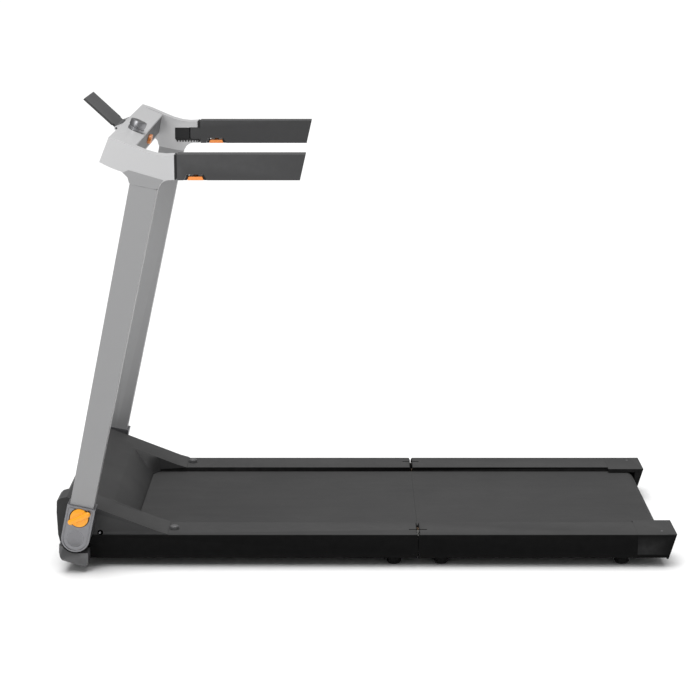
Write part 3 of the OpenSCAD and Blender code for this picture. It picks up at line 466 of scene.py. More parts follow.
def round_edges(thing: bpy.types.Object, width: float, segments: int = 3,
                sharp_from: float = SHARP_FROM) -> None:
    """Rounds every edge of a piece that is sharper than an angle."""
    bevel = thing.modifiers.new("edges", "BEVEL")
    bevel.width = width
    bevel.segments = segments
    bevel.limit_method = "ANGLE"
    bevel.angle_limit = sharp_from
    bevel.harden_normals = True


def rounded(node: str, edge: Edge) -> bpy.types.Object:
    """Replaces a CAD node by a merged copy with rounded edges.

    Args:
        node: the CAD node's name.
        edge: how far its edges are rounded.

    Returns:
        The new piece.
    """
    shell = bmesh.new()
    shell.from_mesh(frame["nodes"][node].data)
    bmesh.ops.remove_doubles(shell, verts=shell.verts, dist=MERGE_WITHIN)
    bmesh.ops.dissolve_limit(shell, angle_limit=FLAT_WITHIN, verts=shell.verts, edges=shell.edges)
    for face in shell.faces:
        face.smooth = True
    for seam in shell.edges:
        seam.smooth = seam.calc_face_angle(math.pi) < SHARP_FROM
    mesh = bpy.data.meshes.new(node + "_rounded")
    shell.to_mesh(mesh)
    shell.free()
    thing = add_piece(node + "_rounded", mesh, BODY_OF[node], SLOT_OF[node])
    round_edges(thing, edge.value)
    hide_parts(node)
    return thing


def lathe(name: str, profile: list[Point2], at: Vector, axis: Vector, body: str, slot: str,
          turns: int = 64) -> bpy.types.Object:
    """Turns a profile about an axis.

    Args:
        name: the piece's name.
        profile: (radius, height) points in metres, closed by poles where a radius is 0.
        at: the foot of the axis.
        axis: the direction of the axis.
        body: the body it rides on.
        slot: its finish.
        turns: the faces round it.

    Returns:
        The piece.
    """
    place = Matrix.Translation(at) @ axis.to_track_quat("Z", "Y").to_matrix().to_4x4()
    shell = bmesh.new()
    rings = []
    for radius, height in profile:
        if radius == 0:
            rings.append([shell.verts.new(place @ Vector((0, 0, height)))])
            continue
        angles = [2 * math.pi * step / turns for step in range(turns)]
        rings.append([shell.verts.new(place @ Vector((radius * math.cos(a), radius * math.sin(a), height)))
                      for a in angles])
    for low, high in zip(rings, rings[1:]):
        for step in range(turns):
            after = (step + 1) % turns
            corners = {low[step % len(low)]: 0, low[after % len(low)]: 0,
                       high[after % len(high)]: 0, high[step % len(high)]: 0}
            if len(corners) > 2:
                shell.faces.new(list(corners))
    return close_shell(shell, name, body, slot)


def close_shell(shell: bmesh.types.BMesh, name: str, body: str, slot: str) -> bpy.types.Object:
    """Turns a closed shell's faces outwards, shades it and adds it as a piece."""
    bmesh.ops.recalc_face_normals(shell, faces=shell.faces)
    for face in shell.faces:
        face.smooth = True
    for seam in shell.edges:
        seam.smooth = seam.calc_face_angle(0) < SMOOTH_TO
    mesh = bpy.data.meshes.new(name)
    shell.to_mesh(mesh)
    shell.free()
    return add_piece(name, mesh, body, slot)


def loft(name: str, rings: list[list[Vector]], body: str, slot: str) -> bpy.types.Object:
    """Skins a stack of rings with equal counts and caps both ends."""
    shell = bmesh.new()
    stack = [[shell.verts.new(point) for point in ring] for ring in rings]
    count = len(stack[0])
    for low, high in zip(stack, stack[1:]):
        for step in range(count):
            after = (step + 1) % count
            shell.faces.new((low[step], low[after], high[after], high[step]))
    shell.faces.new(stack[0])
    shell.faces.new(stack[-1])
    return close_shell(shell, name, body, slot)


def prism(name: str, outline: list[Point2], y0: float, y1: float, body: str, slot: str,
          edge: float = 0.6 * MM) -> bpy.types.Object:
    """Pulls a side-view outline across Y, with both rims rounded.

    Args:
        name: the piece's name.
        outline: (x, z) points, in order.
        y0: one face.
        y1: the other face.
        body: the body it rides on.
        slot: its finish.
        edge: how far its edges are rounded.

    Returns:
        The piece.
    """
    thing = loft(name, [[Vector((x, y, z)) for x, z in outline] for y in (y0, y1)], body, slot)
    round_edges(thing, edge)
    return thing


def smooth(t: float) -> float:
    """Returns the smooth step of t, held between 0 and 1."""
    t = min(1.0, max(0.0, t))
    return t * t * (3 - 2 * t)


def follow(line: list[Point2], x: float) -> float:
    """Returns the height of a broken line at x."""
    for (x0, z0), (x1, z1) in zip(line, line[1:]):
        if x <= x1:
            return z0 + (z1 - z0) * (x - x0) / (x1 - x0)
    return line[-1][1]


def capsule(length: float, width: float, steps: int = 14) -> list[Point2]:
    """Returns the outline of a bar with round ends, about its middle."""
    reach, radius = (length - width) / 2, width / 2
    points = []
    for side, start in ((1, -90), (-1, 90)):
        for step in range(steps + 1):
            angle = math.radians(start + 180 * step / steps)
            points.append((side * reach + radius * math.cos(angle), radius * math.sin(angle)))
    return points


# ---------------------------------------------------------------- geometry nodes


class NodeMaker:
    """Base of the Geometry Nodes makers: a tree with named inputs, baked into plain meshes."""

    title = "maker"

    def __init__(self) -> None:
        """Builds the tree once."""
        self.tree = bpy.data.node_groups.new(self.title, "GeometryNodeTree")
        self.tree.interface.new_socket("Geometry", in_out="INPUT", socket_type="NodeSocketGeometry")
        self.tree.interface.new_socket("Geometry", in_out="OUTPUT", socket_type="NodeSocketGeometry")
        self.start = self.tree.nodes.new("NodeGroupInput")
        self.end = self.tree.nodes.new("NodeGroupOutput")
        self.plan()

    def plan(self) -> None:
        """Adds the tree's inputs and nodes."""
        raise NotImplementedError

    def takes(self, name: str, kind: str) -> None:
        """Adds a named input."""
        self.tree.interface.new_socket(name, in_out="INPUT", socket_type=kind)

    def scatter(self, shape: bpy.types.NodeSocket) -> bpy.types.Node:
        """Puts a shape on every point, and ends the tree in Realize Instances and Set Material."""
        place = self.tree.nodes.new("GeometryNodeInstanceOnPoints")
        self.tree.links.new(self.start.outputs["Geometry"], place.inputs["Points"])
        self.tree.links.new(shape, place.inputs["Instance"])
        realize = self.tree.nodes.new("GeometryNodeRealizeInstances")
        paint = self.tree.nodes.new("GeometryNodeSetMaterial")
        self.tree.links.new(place.outputs["Instances"], realize.inputs[0])
        self.tree.links.new(realize.outputs[0], paint.inputs["Geometry"])
        self.tree.links.new(self.start.outputs["Finish"], paint.inputs["Material"])
        self.tree.links.new(paint.outputs[0], self.end.inputs[0])
        return place

    def make(self, name: str, points: list[Vector], body: str, slot: str,
             **sizes: object) -> bpy.types.Object:
        """Runs the tree over points and keeps the result as a plain mesh.

        Args:
            name: the piece's name.
            points: the places.
            body: the body it rides on.
            slot: its finish.
            sizes: the tree's named inputs, with underscores for spaces.

        Returns:
            The piece.
        """
        start = bpy.data.meshes.new(name + "_points")
        start.from_pydata(points, [], [])
        carrier = put(bpy.data.objects.new(name + "_carrier", start))
        run = carrier.modifiers.new("maker", "NODES")
        run.node_group = self.tree
        keys = {item.name: item.identifier for item in self.tree.interface.items_tree
                if item.in_out == "INPUT"}
        run[keys["Finish"]] = PALETTE.of(slot)
        for key, value in sizes.items():
            run[keys[key.replace("_", " ").title()]] = value
        bpy.context.view_layer.update()
        view = bpy.context.evaluated_depsgraph_get()
        mesh = bpy.data.meshes.new_from_object(carrier.evaluated_get(view))
        bpy.data.objects.remove(carrier)
        mesh.name = name
        return add_piece(name, mesh, body, slot)


class ScrewHeads(NodeMaker):
    """Round screw heads, one on each point."""

    title = "screw_heads"

    def plan(self) -> None:
        """A low domed head is instanced on the points."""
        self.takes("Radius", "NodeSocketFloat")
        self.takes("Height", "NodeSocketFloat")
        self.takes("Turn", "NodeSocketVector")
        self.takes("Finish", "NodeSocketMaterial")
        nodes, links = self.tree.nodes, self.tree.links
        head = nodes.new("GeometryNodeMeshCone")
        head.inputs["Vertices"].default_value = 24
        slim = nodes.new("ShaderNodeMath")
        slim.operation = "MULTIPLY"
        slim.inputs[1].default_value = 0.72
        links.new(self.start.outputs["Radius"], slim.inputs[0])
        links.new(self.start.outputs["Radius"], head.inputs["Radius Bottom"])
        links.new(slim.outputs[0], head.inputs["Radius Top"])
        links.new(self.start.outputs["Height"], head.inputs["Depth"])
        links.new(self.start.outputs["Turn"], self.scatter(head.outputs["Mesh"]).inputs["Rotation"])


class Ribs(NodeMaker):
    """Small upright blocks, one on each point."""

    title = "ribs"

    def plan(self) -> None:
        """A block of the given size is instanced on the points."""
        self.takes("Size", "NodeSocketVector")
        self.takes("Finish", "NodeSocketMaterial")
        rib = self.tree.nodes.new("GeometryNodeMeshCube")
        self.tree.links.new(self.start.outputs["Size"], rib.inputs["Size"])
        self.scatter(rib.outputs["Mesh"])


# ---------------------------------------------------------------- sub-assemblies


@dataclass
class Assembly:
    """A group of CAD nodes that are dressed together."""

    def casings(self) -> dict[Edge, tuple[str, ...]]:
        """Returns the CAD nodes that get rounded edges."""
        return {}

    def inner(self) -> tuple[str, ...]:
        """Returns the CAD nodes that stay as they are and only get their finish."""
        return ()

    def fittings(self) -> None:
        """Builds the pieces that stand on the CAD nodes."""

    def build(self) -> None:
        """Builds the whole sub-assembly."""
        for edge, nodes in self.casings().items():
            for node in nodes:
                rounded(node, edge)
        for node in self.inner():
            PALETTE.dress(frame["nodes"][node], SLOT_OF[node])
        self.fittings()


@dataclass
class Deck(Assembly):
    """Both halves of the deck, with rails, caps, boards, belts, feet and bumpers."""

    screw_r: float = 3.2 * MM
    screw_h: float = 0.8 * MM
    foot_r: float = 16.5 * MM
    screw_back: float = 32 * MM
    screw_inward: float = 25 * MM

    def casings(self) -> dict[Edge, tuple[str, ...]]:
        """Rails and caps are mouldings; belts have crisp edges."""
        return {
            Edge.SOFT: ("front_rail_left", "front_rail_right", "rear_rail_left", "rear_rail_right",
                        "end_cap_left", "end_cap_right"),
            Edge.CRISP: ("belt_front", "belt_rear", "front_running_board", "rear_running_board"),
        }

    def inner(self) -> tuple[str, ...]:
        """Frames, pans, pins and links."""
        return ("base_frame", "rear_frame", "front_belly_pan", "rear_belly_pan", "front_fold_pins",
                "rear_fold_pins", "fold_link_left", "fold_link_right", "rear_roller_axle",
                "rear_roller")

    def fittings(self) -> None:
        """Ribbed feet, domed bumpers and the caps' screws."""
        for node in ("front_feet", "rear_feet"):
            low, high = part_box(node)
            self.feet(node, low, high)
        self.bumpers()
        for side, sign in SIDES:
            _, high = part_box("end_cap_" + side)
            y = outer_y("end_cap_" + side, sign) - sign * self.screw_inward
            points = [Vector((high.x - self.screw_back, y, high.z))]
            SCREWS.make(f"cap_screws_{side}", points, "rear_deck", "bumper_rubber",
                        radius=self.screw_r, height=self.screw_h, turn=(0, 0, 0))

    def feet(self, node: str, low: Vector, high: Vector) -> None:
        """Replaces a row of feet with ribbed rubber feet."""
        radius = self.foot_r
        columns = [low.x + radius, high.x - radius]
        if columns[1] - columns[0] < radius:
            columns = columns[:1]
        for column, x in enumerate(columns):
            for side, y in enumerate((low.y + radius, high.y - radius)):
                self.foot(f"{node}_{column}_{side}", Vector((x, y, low.z)), high.z - low.z, node)
        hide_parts(node)

    def foot(self, name: str, at: Vector, height: float, node: str) -> bpy.types.Object:
        """One foot: a rounded sole, two ribs and a stem."""
        r, groove = self.foot_r, 1.2 * MM
        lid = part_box("front_rail_left")[0].z - 0.6 * MM
        profile = [(0, 0), (r - 6 * MM, 0), (r - 2.4 * MM, 1.6 * MM), (r - 0.4 * MM, 5 * MM), (r, 0.42 * lid)]
        for base, top in ((0.46 * lid, 0.68 * lid), (0.76 * lid, lid)):
            profile += [(r - groove, base), (r - groove, base + 1.4 * MM), (r, base + 2.2 * MM), (r, top)]
        profile += [(10 * MM, lid), (10 * MM, height), (0, height)]
        return lathe(name, profile, at, Vector((0, 0, 1)), BODY_OF[node], SLOT_OF[node], 48)

    def bumpers(self) -> None:
        """Domed rubber bumpers, where the folded rear half lands."""
        low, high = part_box("fold_bumpers")
        r = (high.x - low.x) / 2
        h = high.z - low.z
        dome = [(0, 0), (r, 0), (r, h * 0.55)]
        dome += [(r * math.cos(a), h * (0.55 + 0.45 * math.sin(a)))
                 for a in (math.radians(d) for d in (20, 40, 60, 78))]
        dome.append((0, h))
        for side, y in (("left", low.y + r), ("right", high.y - r)):
            made = lathe("bumper_" + side, dome, Vector((low.x + r, y, low.z)), Vector((0, 0, 1)),
                         "base", "bumper_rubber", 40)
            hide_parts("fold_bumpers")


@dataclass
class MotorBay(Assembly):
    """Hood, tray, motor, drive and mains socket."""

    ridge_in: float = 24 * MM
    scoop_in: float = 115 * MM
    slot_in: float = 170 * MM
    slope: float = 84 / 212
    taper: float = 16 * MM
    screw_in: float = 98 * MM
    screw_z: float = 84 * MM
    stations: int = 30
    turns: int = 14

    def casings(self) -> dict[Edge, tuple[str, ...]]:
        """The hood is a large soft moulding."""
        return {Edge.SOFT: ("motor_hood",), Edge.FINE: ("hood_tray", "power_inlet", "power_switch")}

    def fittings(self) -> None:
        """Swept corners beside the scoop, and a screw in the mouth of each second lock hole."""
        low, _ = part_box("motor_hood")
        for side, sign in SIDES:
            self.scoop_corner(side, sign)
            spot = Vector((low.x + self.screw_in, outer_y("motor_hood", sign), self.screw_z))
            SCREWS.make(f"hood_screw_{side}", [spot], "base", "cap_metal", radius=2.6 * MM,
                        height=0.8 * MM, turn=(-sign * math.pi / 2, 0, 0))

    def shoulder(self, x: float) -> float:
        """Height of the shoulder's top at x."""
        low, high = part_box("motor_hood")
        ridge_x = low.x + self.ridge_in
        return high.z - (x - ridge_x) * self.slope

    def scoop(self, x: float) -> float:
        """Height of the dipped middle panel at x."""
        low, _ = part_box("motor_hood")
        _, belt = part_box("belt_front")
        start, slot = low.x + self.scoop_in, low.x + self.slot_in
        return follow([(start, self.shoulder(start)), (start + 9 * MM, self.shoulder(start) - 5.5 * MM),
                       (slot - 3 * MM, belt.z + 9 * MM), (slot, belt.z + 2 * MM)], x)

    def scoop_corner(self, side: str, sign: int) -> None:
        """One corner: it blends the scoop's floor into the shoulder, and tapers out past the slot."""
        low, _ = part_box("motor_hood")
        _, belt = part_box("belt_front")
        start, slot = low.x + self.scoop_in, low.x + self.slot_in
        wall_y, lift = belt.y, 0.25 * MM
        rings = []
        for step in range(self.stations + 1):
            x = start + 1 * MM + (slot + self.taper - start - 1 * MM) * step / self.stations
            floor, top = self.scoop(x), self.shoulder(x) + lift
            past = smooth((x - slot + self.taper) / (2 * self.taper))
            width = (10 * MM + (top - floor)) * (1 - past) + 2.5 * MM * past
            ring = [Vector((x, sign * (wall_y - width), floor - 0.4 * MM))]
            for turn in range(self.turns + 1):
                share = turn / self.turns
                ring.append(Vector((x, sign * (wall_y + 1 * MM - (width + 1 * MM) * (1 - share)),
                                    floor - 0.2 * MM + (top - floor + 0.2 * MM) * smooth(share))))
            ring += [Vector((x, sign * (wall_y + 7 * MM), top)),
                     Vector((x, sign * (wall_y + 7 * MM), top - 1.6 * MM)),
                     Vector((x, sign * (wall_y + 1 * MM), top - 1.6 * MM)),
                     Vector((x, sign * (wall_y + 1 * MM), floor - 0.4 * MM))]
            rings.append(ring)
        loft(f"scoop_corner_{side}", rings, "base", "hood_plastic")

    def inner(self) -> tuple[str, ...]:
        """Everything under the hood."""
        return ("tray_screws", "motor_housing", "motor_controller", "motor_rotor", "drive_belt",
                "front_roller", "roller_pulley", "front_roller_axle")


@dataclass
class Pivot(Assembly):
    """Foot of each upright: plate, guard, cap, lock knob and transport wheel."""

    disc_r: float = 21 * MM
    disc_t: float = 6 * MM
    grip_l: float = 55.6 * MM
    grip_w: float = 13 * MM
    grip_t: float = 6 * MM
    grip_angle: float = 24
    grip_roll: float = 0.46
    cap_r: float = 32.5 * MM
    cap_l: float = 77 * MM
    rim_w: float = 4.6 * MM
    rim_t: float = 1.6 * MM
    groove_w: float = 1.8 * MM
    plate_t: float = 1.1 * MM
    dish_r: float = 19 * MM
    nick: float = 3.4 * MM

    def casings(self) -> dict[Edge, tuple[str, ...]]:
        """Caps and guards."""
        return {Edge.SOFT: ("pivot_caps", "pivot_guards"),
                Edge.FINE: ("transport_wheel_left", "transport_wheel_right", "upright_plates")}

    def inner(self) -> tuple[str, ...]:
        """Pins and axles."""
        return ("upright_pivot_pins", "wheel_axles")

    def fittings(self) -> None:
        """Lock knobs and the raised rim on each cap."""
        for side, sign in SIDES:
            self.knob(side, sign)
            self.rim(side, sign)

    def knob(self, side: str, sign: int) -> None:
        """A disc with a bar handle, its edges rolled over."""
        joint = Vector(JOINTS[f"lock_knob_{side}_turn"]["pos_m"])
        node = "lock_knob_" + side
        back = outer_y(node, sign) - sign * (self.disc_t + self.grip_t)
        out = Vector((0, sign, 0))
        inner = outer_y(node, -sign)
        at = Vector((joint.x, back, joint.z))
        r, t = self.disc_r, self.disc_t
        disc = [(0, (inner - back) * sign), (4.9 * MM, (inner - back) * sign), (4.9 * MM, 0),
                (r - 1 * MM, 0), (r, 0.8 * MM), (r, t - 1.6 * MM), (r - 0.6 * MM, t - 0.5 * MM),
                (r - 1.8 * MM, t), (0, t)]
        made = lathe("lock_disc_" + side, disc, at, out, node, "lock_amber")
        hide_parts(node)
        turn = math.radians(self.grip_angle)
        rings = []
        for step in range(-1, 8):
            bend = math.radians(max(0, step) * 11.5)
            rise = math.sin(bend) if step >= 0 else -0.2
            inset = (1 - math.cos(bend)) * self.grip_w * self.grip_roll
            outline = capsule(self.grip_l - 2 * inset, self.grip_w - 2 * inset)
            rings.append([Vector((joint.x + x * math.cos(turn) - z * math.sin(turn),
                                  back + sign * (t + rise * self.grip_t),
                                  joint.z + x * math.sin(turn) + z * math.cos(turn)))
                          for x, z in outline])
        loft("lock_grip_" + side, rings, node, "lock_amber")

    def cap_path(self, radius: float, reach: float) -> list[Point2]:
        """Returns a U in the upright's own frame, as (x, z) points."""
        pivot = Vector(JOINTS["uprights_fold"]["pos_m"])
        lock = Vector(JOINTS["lock_knob_left_turn"]["pos_m"])
        up = Vector((lock.x - pivot.x, lock.z - pivot.z)).normalized()
        across = Vector((up.y, -up.x))
        centre = Vector((pivot.x, pivot.z))
        corner = [(radius - self.nick, reach), (radius - self.nick * 0.3, reach - self.nick * 0.3),
                  (radius, reach - self.nick)]
        points = [centre + across * x + up * y for x, y in corner]
        points += [centre + across * radius * math.cos(a) - up * radius * math.sin(a)
                   for a in (math.pi * step / 32 for step in range(33))]
        points += [centre - across * x + up * y for x, y in reversed(corner)]
        return [tuple(point) for point in points]

    def rim(self, side: str, sign: int) -> None:
        """A raised rim and an inset plate on the cap, with a groove between them."""
        face = outer_y("pivot_caps", sign)
        outer = self.cap_path(self.cap_r - 0.6 * MM, self.cap_l - 0.8 * MM)
        inner = self.cap_path(self.cap_r - self.rim_w, self.cap_l - self.rim_w)
        self.band(f"cap_rim_{side}", outer, inner, face, face + sign * self.rim_t)
        edge = self.rim_w + self.groove_w
        plate = self.cap_path(self.cap_r - edge, self.cap_l - edge)
        pivot, lock = (JOINTS[name]["pos_m"] for name in ("uprights_fold", f"lock_knob_{side}_turn"))
        holes = (self.circle(lock, self.disc_r + 2.2 * MM), self.circle(pivot, self.dish_r))
        self.drilled("cap_plate_" + side, plate, holes, face, face + sign * self.plate_t)
        # Painted shade: a thin near-black ring on the floor of the hole round the lock knob darkens that
        # recess.
        hole, lip = self.disc_r - 1.5 * MM, self.disc_r + 2.1 * MM
        shade_ring = [(hole, -0.3 * MM), (lip, -0.3 * MM), (lip, 0.35 * MM), (hole, 0.2 * MM), (hole, -0.3 * MM)]
        bowl = [(0, -0.9 * MM), (6 * MM, -0.85 * MM), (12 * MM, -0.4 * MM), (17 * MM, 0.5 * MM),
                (18.6 * MM, 0.75 * MM), (18.9 * MM, -1.15 * MM), (0, -1.15 * MM)]
        out = Vector((0, sign, 0))
        for name, profile, at, slot in (("knob_shade_ring_", shade_ring, lock, "hinge_plastic"),
                                        ("cap_dish_", bowl, pivot, "cap_metal")):
            lathe(name + side, profile, Vector((at[0], face, at[2])), out, "uprights", slot, 72)

    def circle(self, at: list[float], radius: float) -> list[Point2]:
        """Returns a circle in the side view."""
        return [(at[0] + radius * math.cos(a), at[2] + radius * math.sin(a))
                for a in (2 * math.pi * step / 56 for step in range(56))]

    def band(self, name: str, outer: list[Point2], inner: list[Point2], y0: float, y1: float) -> None:
        """A closed band between two outlines with equal counts, its rims rounded."""
        shell = bmesh.new()
        loops = [[shell.verts.new((x, y, z)) for x, z in line]
                 for line, y in ((outer, y0), (outer, y1), (inner, y1), (inner, y0))]
        count = len(outer)
        for low, high in zip(loops, loops[1:] + loops[:1]):
            for step in range(count):
                after = (step + 1) % count
                shell.faces.new((low[step], low[after], high[after], high[step]))
        round_edges(close_shell(shell, name, "uprights", "cap_metal"), self.rim_t * 0.4, 2, RIM_FROM)

    def drilled(self, name: str, outline: list[Point2], holes: tuple[list[Point2], ...], y0: float,
                y1: float) -> None:
        """A plate with round holes, its rims rounded."""
        shell = bmesh.new()
        seams = []
        for line in (outline, *holes):
            ring = [shell.verts.new((x, y0, z)) for x, z in line]
            seams += [shell.edges.new((ring[i], ring[(i + 1) % len(ring)])) for i in range(len(ring))]
        bmesh.ops.triangle_fill(shell, edges=seams, use_beauty=True)
        bmesh.ops.dissolve_limit(shell, angle_limit=0.01, verts=shell.verts, edges=shell.edges)
        lifted = bmesh.ops.extrude_face_region(shell, geom=shell.faces[:])
        for vert in (item for item in lifted["geom"] if isinstance(item, bmesh.types.BMVert)):
            vert.co.y = y1
        round_edges(close_shell(shell, name, "uprights", "cap_metal"), self.rim_t * 0.4, 2, RIM_FROM)


@dataclass
class Uprights(Assembly):
    """The two leaning posts and the console that joins them."""

    knob_r: float = 19 * MM
    knob_h: float = 24.4 * MM
    stem_r: float = 3 * MM

    def casings(self) -> dict[Edge, tuple[str, ...]]:
        """Posts are drawn tubes; forks are large rounded mouldings."""
        return {
            Edge.ROUND: ("post_left", "post_right", "fork_left", "fork_right"),
            Edge.SOFT: ("console_bar",),
            Edge.FINE: ("console_cover", "arm_hinge_blocks", "safety_key", "phone_holder"),
        }

    def inner(self) -> tuple[str, ...]:
        """Board and hinge pins."""
        return ("control_board", "arm_hinge_pins")

    def neck(self, side: str, sign: int) -> None:
        """A thin sleeve in the posts' darker paint over the fork's neck, below the crease, as painted shade;
        and the catch's teeth.
        """
        fork_low, fork_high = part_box("fork_" + side)
        face, inner = outer_y("fork_" + side, sign), outer_y("fork_" + side, -sign)
        right, foot = fork_high.x, fork_low.z
        outline = [(right - 100 * MM, foot + 42.5 * MM), (right - 24 * MM, foot + 20 * MM),
                   (right - 31.6 * MM, foot + 11.2 * MM), (right - 36.6 * MM, foot + 1.6 * MM),
                   (right - 40.4 * MM, foot + 0.6 * MM), (right - 96.4 * MM, foot + 11 * MM),
                   (right - 99.4 * MM, foot + 15 * MM), (right - 102.6 * MM, foot + 26.4 * MM),
                   (right - 113 * MM, foot + 37.4 * MM)]
        # Painted shade: the darker post paint laid over the neck stands in for its shade below the crease.
        prism(f"neck_shade_sleeve_{side}", outline, face - sign * 0.3 * MM, face + sign * 0.7 * MM,
              "uprights", "post_paint", 0.4 * MM)
        block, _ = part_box("arm_hinge_blocks")
        teeth = [Vector((block.x + (6 + 7 * i) * MM, inner - sign * 0.75 * MM, block.z - 3.6 * MM))
                 for i in range(8)]
        RIBS.make(f"catch_teeth_{side}", teeth, "uprights", "hinge_plastic",
                  size=(3.4 * MM, 1.5 * MM, 6 * MM))
        x0, x1, z0 = block.x + 2 * MM, block.x + 60 * MM, block.z - 3 * MM
        bar = [(x0, z0), (x1, z0), (x1, block.z), (x0, block.z)]
        prism(f"catch_bar_{side}", bar, inner, inner - sign * 1.6 * MM, "uprights", "hinge_plastic", 0.3 * MM)

    def fittings(self) -> None:
        """Painted-shade sleeves on the necks, and the turned knob on the console."""
        for side, sign in SIDES:
            self.neck(side, sign)
        joint = JOINTS["console_knob_turn"]
        at, axis = Vector(joint["pos_m"]), Vector(joint["axis"]).normalized()
        r, h, stem = self.knob_r, self.knob_h, self.stem_r
        body = [(0, -9 * MM), (stem, -9 * MM), (stem, 0.4 * MM), (r - 1 * MM, 0.4 * MM), (r, 1.2 * MM),
                (r, 7 * MM), (r - 1.4 * MM, 8 * MM), (r - 1.4 * MM, 10 * MM), (r, 11 * MM),
                (r, h - 2 * MM), (r - 0.8 * MM, h - 0.6 * MM), (r - 2.4 * MM, h),
                (r - 4 * MM, h), (r - 4.4 * MM, h - 0.8 * MM), (0, h - 0.8 * MM)]
        made = lathe("knob_body", body, at, axis, "console_knob", "knob_chrome", 96)
        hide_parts("console_knob")
        cap = [(0, h - 1.0 * MM), (r - 4.6 * MM, h - 1.0 * MM), (r - 4.8 * MM, h - 0.5 * MM),
               (r - 6 * MM, h - 0.2 * MM), (0, h - 0.2 * MM)]
        lathe("knob_inlay", cap, at, axis, "console_knob", "black_gloss", 96)


@dataclass
class Arms(Assembly):
    """The two swing-in arms with their release buttons."""

    gasket_t: float = 3.4 * MM

    def fittings(self) -> None:
        """A black gasket on each arm's root, against the fork's end."""
        for side in ("left", "right"):
            fork_low, fork_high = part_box("fork_" + side)
            arm_low, arm_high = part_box("arm_" + side)
            x0, x1 = fork_high.x + 0.6 * MM, fork_high.x + 0.6 * MM + self.gasket_t
            inset = 1.2 * MM
            rings = [[Vector((x, y, z)) for y, z in (
                (arm_low.y + inset, arm_low.z + inset), (arm_high.y - inset, arm_low.z + inset),
                (arm_high.y - inset, arm_high.z - inset), (arm_low.y + inset, arm_high.z - inset))]
                for x in (x0, x1)]
            loft("arm_gasket_" + side, rings, "arm_" + side, "hinge_plastic")
            self.cheeks(side)

    def cheeks(self, side: str) -> None:
        """Dark cheeks that close the notch beside the button, and the flange that holds it in."""
        low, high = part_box("release_button_" + side)
        middle, depth = (low.x + high.x) / 2, (low.y + high.y) / 2
        for end, turn in (("front", -1), ("rear", 1)):
            outline = [(25.4 * MM, 0.4 * MM), (18.4 * MM, 0.4 * MM), (18.4 * MM, 4.2 * MM),
                       (15.4 * MM, 12.1 * MM), (18.1 * MM, 12.2 * MM)]
            points = [(middle + turn * x, low.z + z) for x, z in outline]
            for part, y0, y1 in (("near", low.y + 0.6 * MM, depth - 1.6 * MM),
                                 ("far", depth + 1.6 * MM, high.y - 0.6 * MM)):
                prism(f"button_cheek_{side}_{end}_{part}", points, y0, y1, "arm_" + side,
                      "hinge_plastic", 0.2 * MM)
        foot, crown = 22.8 * MM, 17.8 * MM
        flange = [(middle + x, low.z + z) for x, z in
                  ((-foot, 0.5 * MM), (foot, 0.5 * MM), (crown, 8.2 * MM), (-crown, 8.2 * MM))]
        prism("button_flange_" + side, flange, depth - 1.1 * MM, depth + 1.1 * MM,
              BODY_OF["release_button_" + side], "hinge_plastic", 0.2 * MM)

    def casings(self) -> dict[Edge, tuple[str, ...]]:
        """Arms and buttons."""
        return {Edge.SOFT: ("arm_left", "arm_right"),
                Edge.FINE: ("release_button_left", "release_button_right")}


# ---------------------------------------------------------------- studio


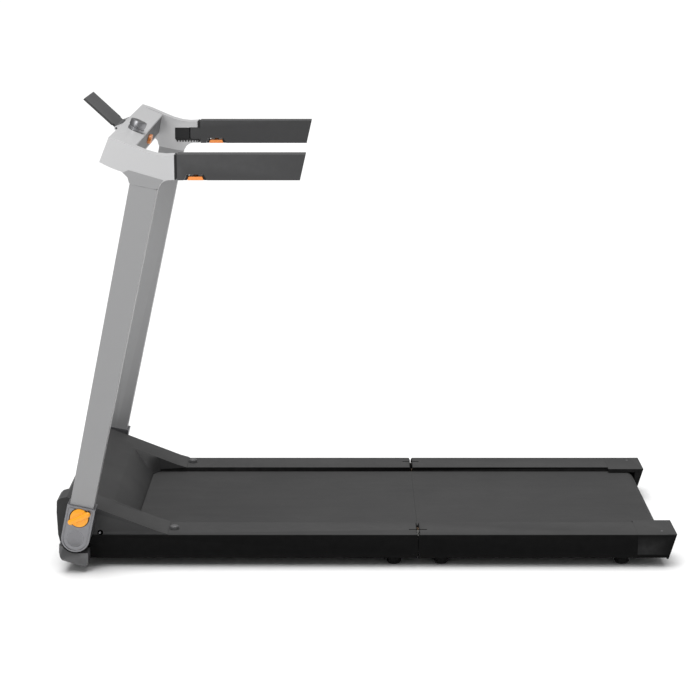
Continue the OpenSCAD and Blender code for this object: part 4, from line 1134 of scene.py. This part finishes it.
@dataclass
class Studio:
    """Pale floor, soft lights and the camera."""

    camera_at: Colour = (-0.040, -4.6087, 1.4985)
    pitch: float = 77.1
    lens: float = 100.29
    floor_half: float = 60.0
    sky_light: float = 0.36
    top_light: float = 2.7
    top_spread: float = 50.0
    top_tilt: float = -6.0
    floor_white: float = 0.93
    sensor: float = 36.0

    def build(self) -> None:
        """Sets up the whole studio."""
        bpy.context.scene.view_settings.view_transform = "Standard"
        self.camera()
        self.floor()
        self.sky()
        self.overhead()
        self.softbox("console", (-1.1, -1.5, 1.9), (-0.5, -0.2, 0.95), 0.8, 15)

    def camera(self) -> None:
        """A long lens, looking along +Y and slightly down."""
        data = bpy.data.cameras.new("camera")
        data.lens = self.lens
        data.sensor_width = self.sensor
        thing = put(bpy.data.objects.new("camera", data))
        thing.location = self.camera_at
        thing.rotation_euler = (math.radians(self.pitch), 0, 0)
        bpy.context.scene.camera = thing

    def floor(self) -> None:
        """A large plain floor."""
        half = self.floor_half
        mesh = bpy.data.meshes.new("floor")
        mesh.from_pydata([(-half, -half, 0), (half, -half, 0), (half, half, 0), (-half, half, 0)],
                         [], [(0, 1, 2, 3)])
        thing = put(bpy.data.objects.new("floor", mesh))
        paint = bpy.data.materials.new("floor_white")
        paint.use_nodes = True
        shader = paint.node_tree.nodes["Principled BSDF"]
        shader.inputs["Base Color"].default_value = (*grey(self.floor_white), 1)
        shader.inputs["Roughness"].default_value = 0.9
        thing.data.materials.append(paint)

    def sky(self) -> None:
        """Even white light from all round."""
        world = bpy.data.worlds.new("studio")
        world.use_nodes = True
        light = world.node_tree.nodes["Background"]
        light.inputs["Color"].default_value = (1, 1, 1, 1)
        light.inputs["Strength"].default_value = self.sky_light
        bpy.context.scene.world = world

    def overhead(self) -> None:
        """A wide soft light from straight above, even over the whole floor."""
        data = bpy.data.lights.new("overhead", "SUN")
        data.energy = self.top_light
        data.angle = math.radians(self.top_spread)
        thing = put(bpy.data.objects.new("overhead", data))
        thing.rotation_euler = (math.radians(self.top_tilt), 0, 0)

    def softbox(self, name: str, at: Colour, aim: Colour, size: float, power: float) -> None:
        """A square area light aimed at a point."""
        data = bpy.data.lights.new(name, "AREA")
        data.size = size
        data.energy = power
        thing = put(bpy.data.objects.new(name, data))
        thing.location = at
        thing.rotation_euler = (Vector(at) - Vector(aim)).to_track_quat("Z", "Y").to_euler()


def main() -> None:
    """Builds the studio and every sub-assembly."""
    logging.basicConfig(level=logging.INFO, format="%(name)s: %(message)s")
    Studio().build()
    for assembly in (Deck(), MotorBay(), Pivot(), Uprights(), Arms()):
        assembly.build()
        LOG.info("%s done", type(assembly).__name__)


PALETTE = Palette()
SCREWS = ScrewHeads()
RIBS = Ribs()

if __name__ == "__main__":
    main()
